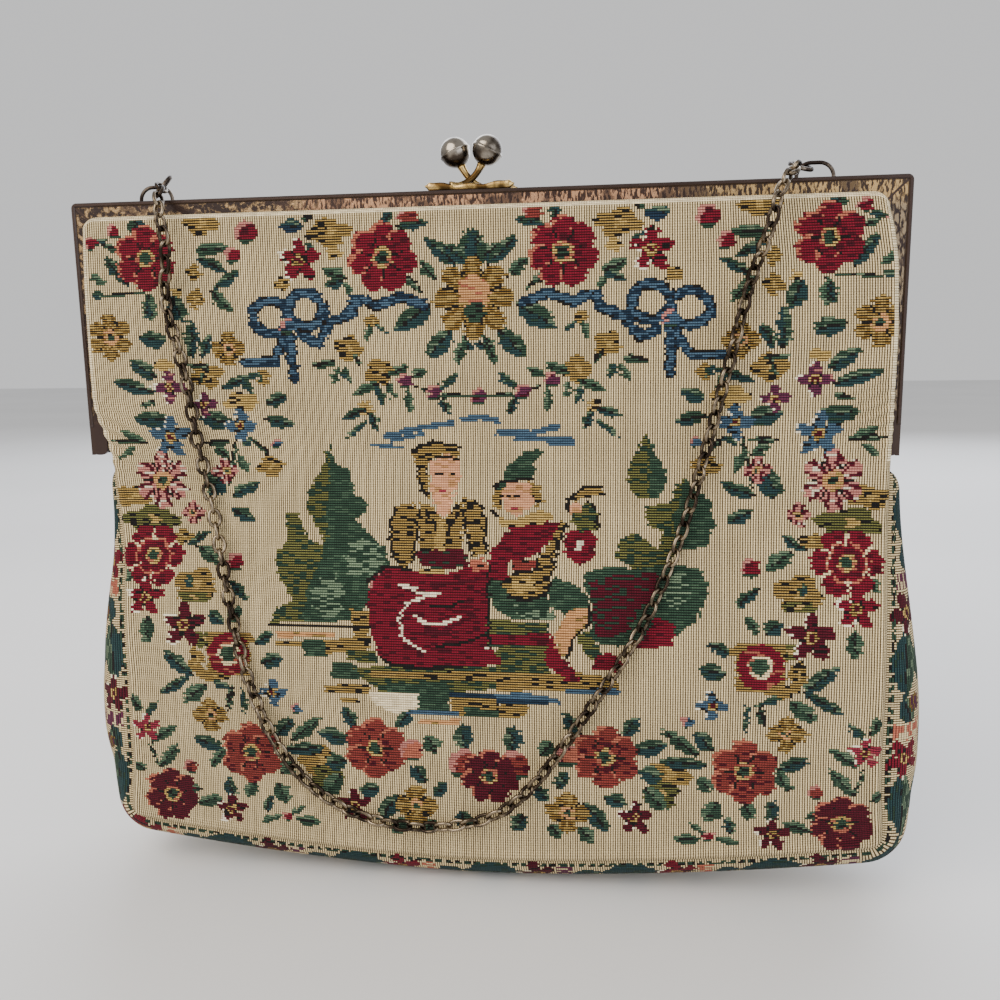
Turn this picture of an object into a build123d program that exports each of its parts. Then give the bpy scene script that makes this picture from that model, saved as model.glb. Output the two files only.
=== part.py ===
from build123d import *

import os
from math import atan2, cos, degrees, pi, radians, sin, sqrt

# Driving dimensions in millimetres. X is the width, -Y the front, Z up, the ground at Z = 0.

# Metal frame, two hinged halves
frame_width = 216.0
frame_top = 185.0
arm_length = 60.0
half_depth = 6.0
sheet = 0.9
flange_width = 9.0
frame_corner = 1.4
halves_gap = 0.3
rim_width = 1.1
rim_height = 0.4
rim_round = 0.3

# Hinge ears and rivets at the ends of the arms
ear_width = 4.8
ear_length = 7.8
ear_corner = 2.0
lug_radius = 3.4
lug_gap = 0.3
lug_rise = 4.0
swing_gap = 0.8
rivet_radius = 0.9
rivet_head_radius = 2.0
rivet_head_height = 0.9
rivet_dome = 40.0
head_sides = 12
hole_clearance = 0.05
running_clearance = 0.1

# Kiss lock on top of the frame
ball_radius = 3.85
ball_gap = 0.5
ball_rise = 10.3
ball_tilt = 25.0
ball_split = 0.8
ball_ridge = 0.25
ball_ridge_height = 0.7
ball_sides = 12
stem_radius = 0.85
stem_sides = 6
stem_root_offset = 5.0
stem_root_rise = 1.2
mount_width = 23.0
mount_waist = 1.9
mount_fishtail = 2.8
mount_notch = 0.9
mount_thickness = 1.8
mount_setback = 1.2

# Loops and rings that carry the chain
loop_inset = 22.2
loop_width = 9.9
loop_height = 4.6
loop_wire = 1.0
loop_setback = 1.4
loop_bend = 3.4
ring_diameter = 6.5
ring_wire = 1.1
ring_play = 0.8
wire_sides = 6
ring_sides = 16

# Chain of small oval links
link_length = 5.5
link_width = 3.6
link_wire = 0.8
link_play = 0.25
link_corner = 1.05
chain_lift = 2.4
chain_roll = 45.0
chain_slope = 0.2
eased_links = 5

# Tapestry body
bag_depth = 38.0
cloth = 1.2
cloth_gap = 0.3
panel_drop = 3.9
panel_side_inset = 2.2
panel_corner = 4.0
pull_height = 6.0
waist_width = 201.0
seam_width = 203.0
seam_height = 12.0
seam_corner = 10.0
belly_height = 50.0
gusset_bulge = 12.0
gusset_top_bulge = 3.4
gusset_corner = 9.0
gusset_top_corner = 2.4
gusset_top_drop = 7.6
turn_steps = 4

# Lining
lining = 0.5
lining_drop = 3.0
lining_side_inset = 5.0

# Levels and offsets that follow from the driving dimensions
half_width = frame_width / 2
arm_end = frame_top - arm_length
hinge_height = arm_end - ear_length + lug_radius
loop_offset = half_width - loop_inset
gusset_top = hinge_height - gusset_top_drop
corner_height = seam_height + seam_corner
corner_offset = seam_width / 2 - seam_corner
flange_inside = half_depth - sheet
lining_step = sheet + 2 * cloth_gap
swell = bag_depth / 2 - half_depth - cloth_gap
swell_middle = (hinge_height + belly_height) / 2
swell_radius = ((hinge_height - belly_height) ** 2 + swell**2) / (4 * swell)

os.makedirs("parts", exist_ok=True)


def save(part, name):
    part.label = name
    export_step(part, f"parts/{name}.step")


def belly_share(height):
    """0 at the hinge and above, 1 at the belly and below, with two equal arcs in an S between."""
    if height >= hinge_height:
        return 0
    if height <= belly_height:
        return 1
    if height > swell_middle:
        return (swell_radius - sqrt(swell_radius**2 - (hinge_height - height) ** 2)) / swell
    return 1 - (swell_radius - sqrt(swell_radius**2 - (height - belly_height) ** 2)) / swell


def cloth_depth(height):
    """Distance from the middle plane to the inner face of a tapestry panel."""
    return half_depth + cloth_gap + swell * belly_share(height)


# Frame halves


def inverted_u(border, end):
    """Face of a top bar and two arms, as wide as border, whose arms stop at the height end."""
    length = frame_top - end
    with BuildSketch(Plane.XY) as outline:
        with Locations((0, frame_top - length / 2)):
            Rectangle(frame_width, length)
        fillet(outline.vertices().group_by(Axis.Y)[-1], frame_corner)
        with Locations((0, end + (length - border) / 2)):
            Rectangle(frame_width - 2 * border, length - border, mode=Mode.SUBTRACT)
    return outline.sketch


def half_shell(face, wall_end):
    """Flange with its ears, outer wall and raised rim of one half, on the side that face looks to."""
    ear_centre = (half_width - ear_width / 2, arm_end - ear_length / 2 + ear_corner)
    with BuildPart() as shell:
        with BuildSketch(face.offset(flange_inside)):
            add(inverted_u(flange_width, arm_end))
            with Locations(ear_centre, (-ear_centre[0], ear_centre[1])):
                RectangleRounded(ear_width, ear_length + 2 * ear_corner, ear_corner)
        extrude(amount=sheet)
        with BuildSketch(face.offset(halves_gap / 2)):
            add(inverted_u(sheet, wall_end))
        extrude(amount=half_depth - halves_gap / 2)
        with BuildSketch(face.offset(half_depth)):
            add(inverted_u(rim_width, wall_end))
        extrude(amount=rim_height)
        crest = shell.faces().sort_by(Axis(face.origin, face.z_dir))[-1]
        chamfer(crest.edges(), rim_round)
    return shell.part


def lugs(outer_offset, reach, top):
    """Plates across the hinge axis on both sides, rounded about the rivets. The sign of reach
    says whether they join the front or the rear half."""
    low = hinge_height - lug_radius
    with BuildPart() as plates:
        with BuildSketch(Plane.YZ.offset(outer_offset - sheet)) as outline:
            with Locations((reach / 2, (low + top) / 2)):
                Rectangle(abs(reach), top - low)
            with Locations((0, hinge_height)):
                Circle(lug_radius)
                Circle(rivet_radius + hole_clearance, mode=Mode.SUBTRACT)
        extrude(amount=sheet)
        mirror(about=Plane.YZ)
    return plates.part


foot_offset = (loop_width - loop_wire) / 2
foot_places = [
    (side * loop_offset + foot, -loop_setback)
    for side in (-1, 1)
    for foot in (-foot_offset, foot_offset)
]

with BuildPart() as front_frame:
    add(half_shell(Plane.front, arm_end))
    add(lugs(half_width, -half_depth, arm_end))
    with BuildSketch(Plane.XY.offset(frame_top - 2 * sheet)):
        with Locations(*foot_places):
            RegularPolygon(loop_wire / 2 + hole_clearance, wire_sides)
    extrude(amount=3 * sheet, mode=Mode.SUBTRACT)
save(front_frame.part, "front_frame")

with BuildPart() as rear_frame:
    add(half_shell(Plane.back, arm_end + swing_gap))
    add(lugs(half_width - sheet - lug_gap, flange_inside, arm_end + lug_rise))
save(rear_frame.part, "rear_frame")

# Hinge rivets, domed outside, each through the two lugs of its side

rivet_inner = half_width - 2 * sheet - lug_gap - running_clearance

with BuildPart() as hinge_rivets:
    with BuildSketch(Plane.YZ.offset(rivet_inner)):
        with Locations((0, hinge_height)):
            RegularPolygon(rivet_radius, head_sides)
    extrude(amount=half_width - rivet_inner)
    with BuildSketch(Plane.YZ.offset(half_width)):
        with Locations((0, hinge_height)):
            RegularPolygon(rivet_head_radius, head_sides)
    extrude(amount=rivet_head_height, taper=rivet_dome)
    with BuildSketch(Plane.YZ.offset(rivet_inner - rivet_head_height / 2)):
        with Locations((0, hinge_height)):
            RegularPolygon(rivet_head_radius, head_sides)
    extrude(amount=rivet_head_height / 2)
    mirror(about=Plane.YZ)
save(hinge_rivets.part, "hinge_rivets")

# Kiss lock: two balls side by side on crossing stems, one on each half

tilt = radians(ball_tilt)
ball_offset = ball_radius + ball_ridge * cos(tilt) + ball_gap / 2
ball_height = frame_top + ball_rise
pole = sqrt(ball_radius**2 - stem_radius**2)
bar_depth = half_depth - mount_setback - mount_thickness / 2
ridge_outer = ball_radius + ball_ridge
ridge_half = ball_ridge_height / 2

# Heights above the middle of a ball, and the ball's radius there, with the soldered ridge round it
bowl = [radians(angle) for angle in (25, 48, 70)]
ball_levels = [
    (-pole, stem_radius),
    *[(-ball_radius * sin(angle), ball_radius * cos(angle)) for angle in reversed(bowl)],
    (-ridge_half, ball_radius),
    (-ridge_half + ball_ridge / 2, ridge_outer),
    (ridge_half - ball_ridge / 2, ridge_outer),
    (ridge_half, ball_radius),
    *[(ball_radius * sin(angle), ball_radius * cos(angle)) for angle in bowl],
    (pole, stem_radius),
]

for side, half in ((1, "front"), (-1, "rear")):
    axis_direction = Vector(side * sin(tilt), 0, cos(tilt))
    centre = Vector(side * ball_offset, -side * ball_split, ball_height)
    ball_plane = Plane(centre, x_dir=(0, 1, 0), z_dir=axis_direction)
    with BuildPart() as ball:
        for (rise, radius), (next_rise, next_radius) in zip(ball_levels, ball_levels[1:]):
            drawn_in = (radius - next_radius) * cos(pi / ball_sides) / (next_rise - rise)
            with BuildSketch(ball_plane.offset(rise)):
                RegularPolygon(radius, ball_sides)
            extrude(amount=next_rise - rise, taper=degrees(atan2(drawn_in, 1)))
    save(ball.part, f"{half}_ball")

    with BuildPart() as clasp_mount:
        with BuildSketch(Plane.XZ.offset(side * bar_depth - mount_thickness / 2)):
            with BuildLine():
                Polyline(
                    (mount_width / 2, mount_fishtail + frame_top),
                    (mount_width / 2 - mount_notch, mount_fishtail / 2 + frame_top),
                    (mount_width / 2, frame_top),
                    (-mount_width / 2, frame_top),
                    (mount_notch - mount_width / 2, mount_fishtail / 2 + frame_top),
                    (-mount_width / 2, mount_fishtail + frame_top),
                )
                Spline(
                    (-mount_width / 2, mount_fishtail + frame_top),
                    (-mount_width / 4, mount_waist + frame_top),
                    (mount_width / 4, mount_waist + frame_top),
                    (mount_width / 2, mount_fishtail + frame_top),
                )
            make_face()
        extrude(amount=mount_thickness)
        stem_end = centre - axis_direction * pole
        root = Vector(-side * stem_root_offset, -side * bar_depth, frame_top + stem_root_rise)
        with BuildLine() as stem_line:
            TangentArc(stem_end, root, tangent=-axis_direction)
        with BuildSketch(Plane(stem_end, z_dir=-axis_direction)):
            RegularPolygon(stem_radius, stem_sides)
        sweep(path=stem_line.line)
    save(clasp_mount.part, f"{half}_clasp_mount")

# Loops standing through the top of the front half, and the rings that hang in them

loop_top = frame_top + loop_height - loop_wire / 2
arches = {}

with BuildPart() as chain_loops:
    for side, hand in ((1, "right"), (-1, "left")):
        left_foot = side * loop_offset - foot_offset
        right_foot = side * loop_offset + foot_offset
        with BuildLine(Plane.XZ.offset(loop_setback)) as arch:
            FilletPolyline(
                (left_foot, frame_top - sheet),
                (left_foot, loop_top),
                (right_foot, loop_top),
                (right_foot, frame_top - sheet),
                radius=loop_bend,
            )
        with BuildSketch(Plane.XY.offset(frame_top - sheet)):
            with Locations((left_foot, -loop_setback)):
                RegularPolygon(loop_wire / 2, wire_sides)
        sweep(path=arch.line)
        arches[hand] = arch.wire()
save(chain_loops.part, "chain_loops")

ring_radius = (ring_diameter - ring_wire) / 2


def in_plane(plane, angle):
    """Direction at an angle from the X of a plane."""
    turn = radians(angle)
    return plane.x_dir * cos(turn) + plane.y_dir * sin(turn)


def ring_place(arch, share, lie, seat_angle):
    """Plane of a ring lying like lie, with the wire at a share of the arch resting in it."""
    seat = ring_radius - ring_wire / 2 - loop_wire / 2 - ring_play
    return Plane(arch @ share + in_plane(lie, seat_angle) * seat, x_dir=lie.x_dir, z_dir=lie.z_dir)


upright_lie = Plane((0, 0, 0), x_dir=(0.6, 0.22, 0.77), z_dir=(0.67, 0.38, -0.63))
level_lie = Plane((0, 0, 0), x_dir=(0.962, 0, -0.272), z_dir=(0.259, -0.31, 0.915))
rings = {
    "left": ring_place(arches["left"], 0.61, upright_lie, 0),
    "right": ring_place(arches["right"], 0.29, level_lie, 250),
}
with BuildPart() as chain_rings:
    for ring_plane in rings.values():
        with BuildSketch(ring_plane.offset(-ring_wire / 2)):
            RegularPolygon(ring_diameter / 2, ring_sides)
            RegularPolygon(ring_diameter / 2 - ring_wire, ring_sides, mode=Mode.SUBTRACT)
        extrude(amount=ring_wire)
save(chain_rings.part, "chain_rings")


# Tapestry panels, gusset and lining


def panel_outline(top, side, waist, seam, corner, base):
    """Outline of a panel seen from the front: square to the frame, drawn in at the hinge, then
    straight down to a rounded bottom corner."""
    pull_top = arm_end + pull_height
    with BuildSketch(Plane.XY) as outline:
        with BuildLine():
            Polyline((0, top), (side, top), (side, pull_top))
            middle = ((side + waist) / 2, (pull_top + hinge_height) / 2)
            drawn_in = TangentArc((side, pull_top), middle, tangent=(0, -1))
            TangentArc(middle, (waist, hinge_height), tangent=drawn_in % 1)
            Line((waist, hinge_height), (seam, base + corner))
            TangentArc((seam, base + corner), (seam - corner, base), tangent=(0, -1))
            Line((seam - corner, base), (0, base))
            mirror(about=Plane.YZ)
        make_face()
        fillet(outline.vertices().group_by(Axis.Y)[-1], panel_corner)
    return outline.sketch


def hanging_sheet(outline, inset, thickness):
    """Sheet of even thickness that follows the side profile of the bag, cut to an outline. The
    inset is measured inwards from the inner face of a tapestry panel."""
    box = outline.bounding_box()
    with BuildPart() as hanging:
        with BuildSketch(Plane.YZ):
            with BuildLine():
                for depth in (inset, inset - thickness):
                    belly = (depth - bag_depth / 2, belly_height)
                    neck = (depth - cloth_depth(hinge_height), hinge_height)
                    Line((belly[0], box.min.Y), belly)
                    swelling = TangentArc(
                        belly,
                        (depth - cloth_depth(swell_middle), swell_middle),
                        tangent=(0, 1),
                    )
                    TangentArc(swelling @ 1, neck, tangent=swelling % 1)
                    Line(neck, (neck[0], box.max.Y))
                for level in (box.min.Y, box.max.Y):
                    near = inset - cloth_depth(level)
                    Line((near, level), (near - thickness, level))
            make_face()
        extrude(amount=box.max.X, both=True)
        with BuildSketch(Plane.XZ):
            add(outline)
        extrude(amount=bag_depth, mode=Mode.INTERSECT)
    return hanging.part


tapestry_outline = panel_outline(
    frame_top - panel_drop,
    half_width - panel_side_inset,
    waist_width / 2,
    seam_width / 2,
    seam_corner,
    seam_height,
)
with BuildPart() as front_panel:
    add(hanging_sheet(tapestry_outline, 0, cloth))
save(front_panel.part, "front_panel")

with BuildPart() as back_panel:
    add(mirror(front_panel.part, about=Plane.XZ, mode=Mode.PRIVATE))
save(back_panel.part, "back_panel")

lining_outline = panel_outline(
    frame_top - lining_drop,
    half_width - lining_side_inset,
    waist_width / 2 - cloth_gap,
    seam_width / 2 - cloth_gap,
    seam_corner,
    seam_height + cloth_gap,
)

with BuildPart() as lining_front:
    add(hanging_sheet(lining_outline, lining_step + lining, lining))
save(lining_front.part, "lining_front")

with BuildPart() as lining_back:
    add(mirror(lining_front.part, about=Plane.XZ, mode=Mode.PRIVATE))
save(lining_back.part, "lining_back")


flank_levels = [
    gusset_top,
    (gusset_top + swell_middle) / 2,
    swell_middle,
    (swell_middle + belly_height) / 2,
    belly_height,
    corner_height,
]


def channel(depth, bulge, corner, facets):
    """Points of a channel open at X = 0, whose two corners are rounded in a few facets."""
    turned = [radians(90 * step / facets) for step in range(facets + 1)]
    low = [
        (bulge - corner + corner * sin(turn), corner - depth / 2 - corner * cos(turn)) for turn in turned
    ]
    high = [(along, -across) for along, across in reversed(low)]
    return [(0, -depth / 2), *low, *high, (0, depth / 2)]


def strip_section(plane, depth, bulge, corner, wall, facets):
    """Channel section of a gusset on a plane whose X points outwards from the seam."""
    outer = channel(depth, bulge, corner, facets)
    inner = channel(depth - 2 * wall, bulge - wall, corner - wall, facets)
    with BuildSketch(plane) as section:
        with BuildLine():
            Polyline(*outer, *reversed(inner), close=True)
        make_face()
    return section.sketch


def strip(inset, bulge_inset, wall, facets):
    """Gusset from one hinge down the side, round the corners and up the other side."""
    with BuildPart() as whole:
        for level in flank_levels:
            share = belly_share(level)
            climb = (level - corner_height) / (gusset_top - corner_height)
            seam = (seam_width + (waist_width - seam_width) * climb) / 2
            depth = 2 * (cloth_depth(level) - inset)
            bulge = gusset_top_bulge + (gusset_bulge - gusset_top_bulge) * share - bulge_inset
            corner = gusset_top_corner + (gusset_corner - gusset_top_corner) * share - bulge_inset
            add(strip_section(Plane((seam, 0, level)), depth, bulge, corner, wall, facets))
        for step in range(1, turn_steps + 1):
            turn = radians(90 * step / turn_steps)
            outward = Vector(cos(turn), 0, -sin(turn))
            seam_point = Vector(corner_offset, 0, corner_height) + outward * seam_corner
            turned = Plane(seam_point, x_dir=outward, z_dir=(sin(turn), 0, cos(turn)))
            add(strip_section(turned, depth, bulge, corner, wall, facets))
        middle = Plane((0, 0, seam_height), x_dir=(0, 0, -1), z_dir=(1, 0, 0))
        add(strip_section(middle, depth, bulge, corner, wall, facets))
        loft(ruled=True)
        mirror(about=Plane.YZ)
    return whole.part


with BuildPart() as gusset:
    add(strip(cloth_gap, 0, cloth, 2))
save(gusset.part, "gusset")

with BuildPart() as lining_gusset:
    add(strip(lining_step + lining + cloth_gap, cloth + cloth_gap, lining, 1))
save(lining_gusset.part, "lining_gusset")

# Chain of oval links, each turned a quarter to the next, from ring to ring over the front

# Places on the front of the bag that the chain passes, as shares of the loops' offset and of the
# height of the frame
chain_shares = [
    (-0.946, 0.865),
    (-0.920, 0.795),
    (-0.892, 0.724),
    (-0.873, 0.654),
    (-0.840, 0.581),
    (-0.787, 0.476),
    (-0.717, 0.359),
    (-0.626, 0.238),
    (-0.542, 0.178),
    (-0.420, 0.133),
    (-0.245, 0.107),
    (-0.070, 0.108),
    (0.082, 0.130),
    (0.198, 0.178),
    (0.317, 0.257),
    (0.492, 0.385),
    (0.629, 0.524),
    (0.706, 0.652),
    (0.788, 0.811),
    (0.823, 0.876),
]

free_pitch = link_length - 2 * link_wire - link_play


def hooked(ring_plane, angle):
    """Place of the end link that hangs in a ring at an angle round it, with X along the chain."""
    outward = in_plane(ring_plane, angle)
    reach = ring_radius - ring_wire / 2 - link_play + link_length / 2 - link_wire
    flat = outward.cross(ring_plane.z_dir)
    return Plane(ring_plane.origin + outward * reach, x_dir=outward, z_dir=flat)


def across(way):
    """Direction square to the way of the chain and nearest to the front."""
    front = Vector(0, -1, 0)
    return (front - way * front.dot(way)).normalized()


def roll_of(place):
    """Angle of a link about the way of the chain, from lying flat on the front, below 90 either way."""
    front = across(place.x_dir)
    turn = degrees(atan2(place.z_dir.dot(place.x_dir.cross(front)), place.z_dir.dot(front)))
    return (turn + 90) % 180 - 90


def eased(place, onward):
    """Centres of the links after a hooked one, turning in even steps from its way to onward."""
    turn = radians(place.x_dir.get_angle(onward))
    centre = place.origin
    centres = []
    for step in range(eased_links):
        near = (step + 0.5) / eased_links
        way = place.x_dir * sin(turn * (1 - near)) + onward * sin(turn * near)
        centre = centre + way.normalized() * free_pitch
        centres.append(centre)
    return centres


first_link = hooked(rings["left"], 108)
last_link = hooked(rings["right"], 250)
first_bend = eased(first_link, Vector(chain_slope, 0, -1).normalized())
last_bend = eased(last_link, Vector(-chain_slope, 0, -1).normalized())

chain_places = [(x * loop_offset, z * frame_top) for x, z in chain_shares]

with BuildLine() as chain_path:
    Spline(
        *first_bend,
        *[(x, -cloth_depth(z) - cloth - chain_lift, z) for x, z in chain_places],
        *reversed(last_bend),
    )
hanging = chain_path.wire()
steps = round(hanging.length / free_pitch)
first_roll = roll_of(first_link)
last_roll = -roll_of(last_link) - 90 * (steps % 2)

link_places = [first_link]
for step in range(steps + 1):
    share = step / steps
    way = hanging % share
    front = across(way)
    settled = chain_roll * sin(pi * share)
    roll = radians(first_roll + (last_roll - first_roll) * share + settled + 90 * ((step + 1) % 2))
    flat = front * cos(roll) + way.cross(front) * sin(roll)
    link_places.append(Plane(hanging @ share, x_dir=way, z_dir=flat))
link_places.append(last_link)

with BuildSketch() as eye:
    Rectangle(link_length - 2 * link_wire, link_width - 2 * link_wire)

with BuildPart() as link:
    with BuildSketch(Plane.XY.offset(-link_wire / 2)) as ring_face:
        Rectangle(link_length, link_width)
        chamfer(ring_face.vertices(), link_corner)
        add(eye.sketch, mode=Mode.SUBTRACT)
    extrude(amount=link_wire)

with BuildPart() as chain:
    with Locations(*link_places):
        add(link.part)
save(chain.part, "chain")
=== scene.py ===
import math

import bmesh
import bpy
import numpy as np
from mathutils import Matrix, Vector


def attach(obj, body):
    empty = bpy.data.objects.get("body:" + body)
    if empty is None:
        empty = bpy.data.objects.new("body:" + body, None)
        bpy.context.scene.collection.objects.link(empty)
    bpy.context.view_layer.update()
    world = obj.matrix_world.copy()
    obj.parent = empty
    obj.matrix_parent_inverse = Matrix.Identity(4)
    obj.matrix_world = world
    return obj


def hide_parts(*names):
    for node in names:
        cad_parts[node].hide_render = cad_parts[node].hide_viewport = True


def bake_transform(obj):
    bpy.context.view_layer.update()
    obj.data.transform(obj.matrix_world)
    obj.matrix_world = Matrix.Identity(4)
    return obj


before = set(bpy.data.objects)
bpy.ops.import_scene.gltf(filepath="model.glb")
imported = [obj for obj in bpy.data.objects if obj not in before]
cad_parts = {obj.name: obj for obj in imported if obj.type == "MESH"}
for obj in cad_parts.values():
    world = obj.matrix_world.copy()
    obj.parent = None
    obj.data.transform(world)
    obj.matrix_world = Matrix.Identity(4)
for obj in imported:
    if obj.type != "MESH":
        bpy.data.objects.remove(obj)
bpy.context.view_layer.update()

MM = 0.001

# Shape of the bag in millimetres, as the solids have it: X the width, -Y the front, Z up

HALF_WIDTH = 108.0
FRAME_TOP = 185.0
HINGE = 120.6
BELLY = 50.0
CLOTH = 1.2
PANEL_TOP = 181.2
PANEL_HALF = 104.0
SEAM = 12.0
SEAM_CORNER = 3.6
GUSSET_TOP = 113.0
RIB = 0.62
ROW = 0.64


def cloth_depth(z):
    """Distance of the inside of a panel from the middle plane: 6.3 at the hinge and above, 19 at
    the belly and below, and an S of two equal arcs between."""
    reach, swell = HINGE - BELLY, 12.7
    radius = (reach**2 + swell**2) / (4 * swell)
    drop = np.clip(HINGE - z, 0, reach)
    upper = radius - np.sqrt(radius**2 - np.minimum(drop, reach / 2) ** 2)
    lower = radius - np.sqrt(radius**2 - np.minimum(reach - drop, reach / 2) ** 2)
    return 6.3 + np.where(drop < reach / 2, upper, swell - lower)


def smooth(x, low, high):
    """0 below low, 1 above high, and a smooth step between."""
    share = np.clip((x - low) / (high - low), 0, 1)
    return share * share * (3 - 2 * share)


def hill(x, middle, width):
    """Bell curve, 1 at the middle and falling to a third at the width."""
    return np.exp(-(((x - middle) / width) ** 2))


# Colours of the yarns and metals, given as they look, and turned into linear light


def linear(hex_colour):
    """Linear light of a colour written as six hex digits."""
    parts = np.array([int(hex_colour[i : i + 2], 16) for i in (0, 2, 4)]) / 255
    return np.where(parts <= 0.04045, parts / 12.92, ((parts + 0.055) / 1.055) ** 2.4)


# Each yarn: its own colour, the darker one of the line between its rows, and half the share of a
# row that the line takes
YARNS = {
    "cream": ("e0ca9b", "33230d", 0.1),
    # A pale yarn of the pattern, also used as the painted highlight along the panels' turned-under top edge
    "bleached": ("e3d3ad", "7a6238", 0.1),
    "white": ("ded3b8", "7d6f52", 0.1),
    "butter": ("c0a05a", "3d2c12", 0.22),
    "gold": ("ab8a47", "120d07", 0.27),
    "ochre": ("86662c", "120d07", 0.28),
    "olive": ("6d6c38", "0c0f0a", 0.28),
    "green": ("2b4131", "080f0c", 0.2),
    "leaf": ("455d47", "0b150f", 0.2),
    "sage": ("6b7d62", "16261c", 0.2),
    "teal": ("213a3a", "081418", 0.18),
    "crimson": ("6c0f22", "1f0307", 0.17),
    "rose": ("842838", "330a10", 0.17),
    "maroon": ("4b0c1b", "190306", 0.16),
    "terracotta": ("78302a", "2a0c0c", 0.17),
    "salmon": ("a8604a", "4a1c14", 0.14),
    "pink": ("b07468", "56282a", 0.14),
    "peach": ("c08c5c", "553318", 0.15),
    "flesh": ("c9916c", "7a4a32", 0.1),
    "plum": ("56243b", "1e0a18", 0.16),
    "steel": ("40586a", "0c1624", 0.18),
    "navy": ("182a3a", "070a14", 0.15),
    "black": ("161311", "080606", 0.1),
}
YARNS = {name: (linear(own), linear(gap), line) for name, (own, gap, line) in YARNS.items()}


# Weaving: every stitch of a cloth knows its place in the pattern and gets a pair of colours


class Cloth:
    """Stitches of one cloth. x and z are their places in the pattern, in millimetres; x strays a
    little from one short run of weft to the next, so that every edge is ragged."""

    def __init__(self, x, z, seed):
        rows, columns = x.shape
        self.chance = np.random.default_rng(seed)
        stray = self.chance.normal(0, 0.32, (rows, columns // 6 + 1)).repeat(6, axis=1)[:, :columns]
        self.x, self.z = x + stray, z
        self.runs = self.chance.random((rows, columns // 3 + 1)).repeat(3, axis=1)[:, :columns]
        own, gap, line = YARNS["cream"]
        self.thread = own * (0.9 + 0.2 * self.chance.random((1, columns, 1))) + np.zeros(x.shape + (3,))
        self.gap = gap + np.zeros(x.shape + (3,))
        self.line = np.full(x.shape, line)
        self.cover = np.zeros(x.shape)

    def weave(self, inside, yarn, fleck=None, share=0.0):
        """Covers the stitches inside with runs of a yarn, a share of them of the fleck yarn."""
        runs = np.roll(self.runs, self.chance.integers(0, 99, 2), axis=(0, 1))
        picked = [(inside, YARNS[yarn])]
        if fleck:
            picked.append((inside & (runs < share), YARNS[fleck]))
        for spots, (own, gap, line) in picked:
            self.thread[spots] = own * (0.8 + 0.4 * runs[spots, None])
            self.gap[spots] = gap
            self.line[spots] = line
            self.cover[spots] = 1.0

    def ground(self, inside):
        """Gives the stitches inside back to the ribbed ground."""
        own, gap, line = YARNS["cream"]
        self.thread[inside], self.gap[inside] = own, gap
        self.line[inside], self.cover[inside] = line, 0.0

    def polar(self, x, z, turn=0.0):
        """Distance from a point, and the angle about it from its turned X."""
        dx, dz = self.x - x, self.z - z
        return np.hypot(dx, dz), np.arctan2(dz, dx) - math.radians(turn)

    def along(self, x, z, angle):
        """Distances along and across a direction from a point."""
        dx, dz = self.x - x, self.z - z
        c, s = math.cos(math.radians(angle)), math.sin(math.radians(angle))
        return dx * c + dz * s, dz * c - dx * s

    def near(self, points, width):
        """Stitches within half a width of a run of points."""
        best = np.full(self.x.shape, 1e9)
        for (ax, az), (bx, bz) in zip(points, points[1:]):
            length = (bx - ax) ** 2 + (bz - az) ** 2 + 1e-9
            share = ((self.x - ax) * (bx - ax) + (self.z - az) * (bz - az)) / length
            share = np.clip(share, 0, 1)
            away = np.hypot(self.x - ax - share * (bx - ax), self.z - az - share * (bz - az))
            best = np.minimum(best, away)
        return best < width / 2

    def patch(self, points):
        """Stitches inside a closed run of points, by counting crossings to the right."""
        inside = np.zeros(self.x.shape, bool)
        for (ax, az), (bx, bz) in zip(points, points[1:] + points[:1]):
            if az == bz:
                continue
            crosses = (self.z >= min(az, bz)) & (self.z < max(az, bz))
            inside ^= crosses & (self.x < ax + (self.z - az) * (bx - ax) / (bz - az))
        return inside


# Motifs of the pattern


def leaf(cloth, x, z, length, width, angle, yarn, shade):
    """Leaf from its foot: as wide as the sine of its length, with a darker half and a vein."""
    length, width = length * 1.1, width * 1.25
    run, off = cloth.along(x, z, angle)
    edge = width / 2 * np.sin(np.pi * np.clip(run / length, 0, 1)) ** 0.7
    inside = (run > 0) & (run < length) & (np.abs(off) < edge)
    lit = off * math.cos(math.radians(angle)) > 0
    cloth.weave(inside & lit, yarn, "sage", 0.3)
    cloth.weave(inside & ~lit, shade, yarn, 0.15)
    if width > 2.4:
        cloth.weave(inside & (np.abs(off) < 0.3) & (run < length * 0.8), "black", shade, 0.3)


def rose(cloth, x, z, radius, yarn, petals, turn=90):
    """Rose of round petals a little apart, each with a pale crescent and a dark foot, round a
    butter ring with a green eye."""
    for step in range(petals):
        angle = math.radians(turn + 360 * step / petals)
        px, pz = x + 0.62 * radius * math.cos(angle), z + 0.62 * radius * math.sin(angle)
        size = radius * (0.42 if petals < 7 else 0.37)
        petal = cloth.polar(px, pz)[0] < size
        pale = petal & (cloth.polar(px * 1.0 + size * 0.25, pz - size * 0.2)[0] > size * 0.98)
        cloth.weave(petal, yarn, "maroon", 0.12)
        cloth.weave(pale, "salmon", yarn, 0.25)
    far, angle = cloth.polar(x, z, turn)
    cloth.weave(far < radius * 0.5, yarn, "maroon", 0.3)
    between = np.abs(np.cos(angle * petals / 2)) < 0.2
    cloth.weave(between & (far < radius * 0.6) & (far > radius * 0.3), "black")
    cloth.weave(far < radius * 0.3, "butter", "salmon", 0.3)
    cloth.weave(far < radius * 0.19, "green", "black", 0.3)


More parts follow.
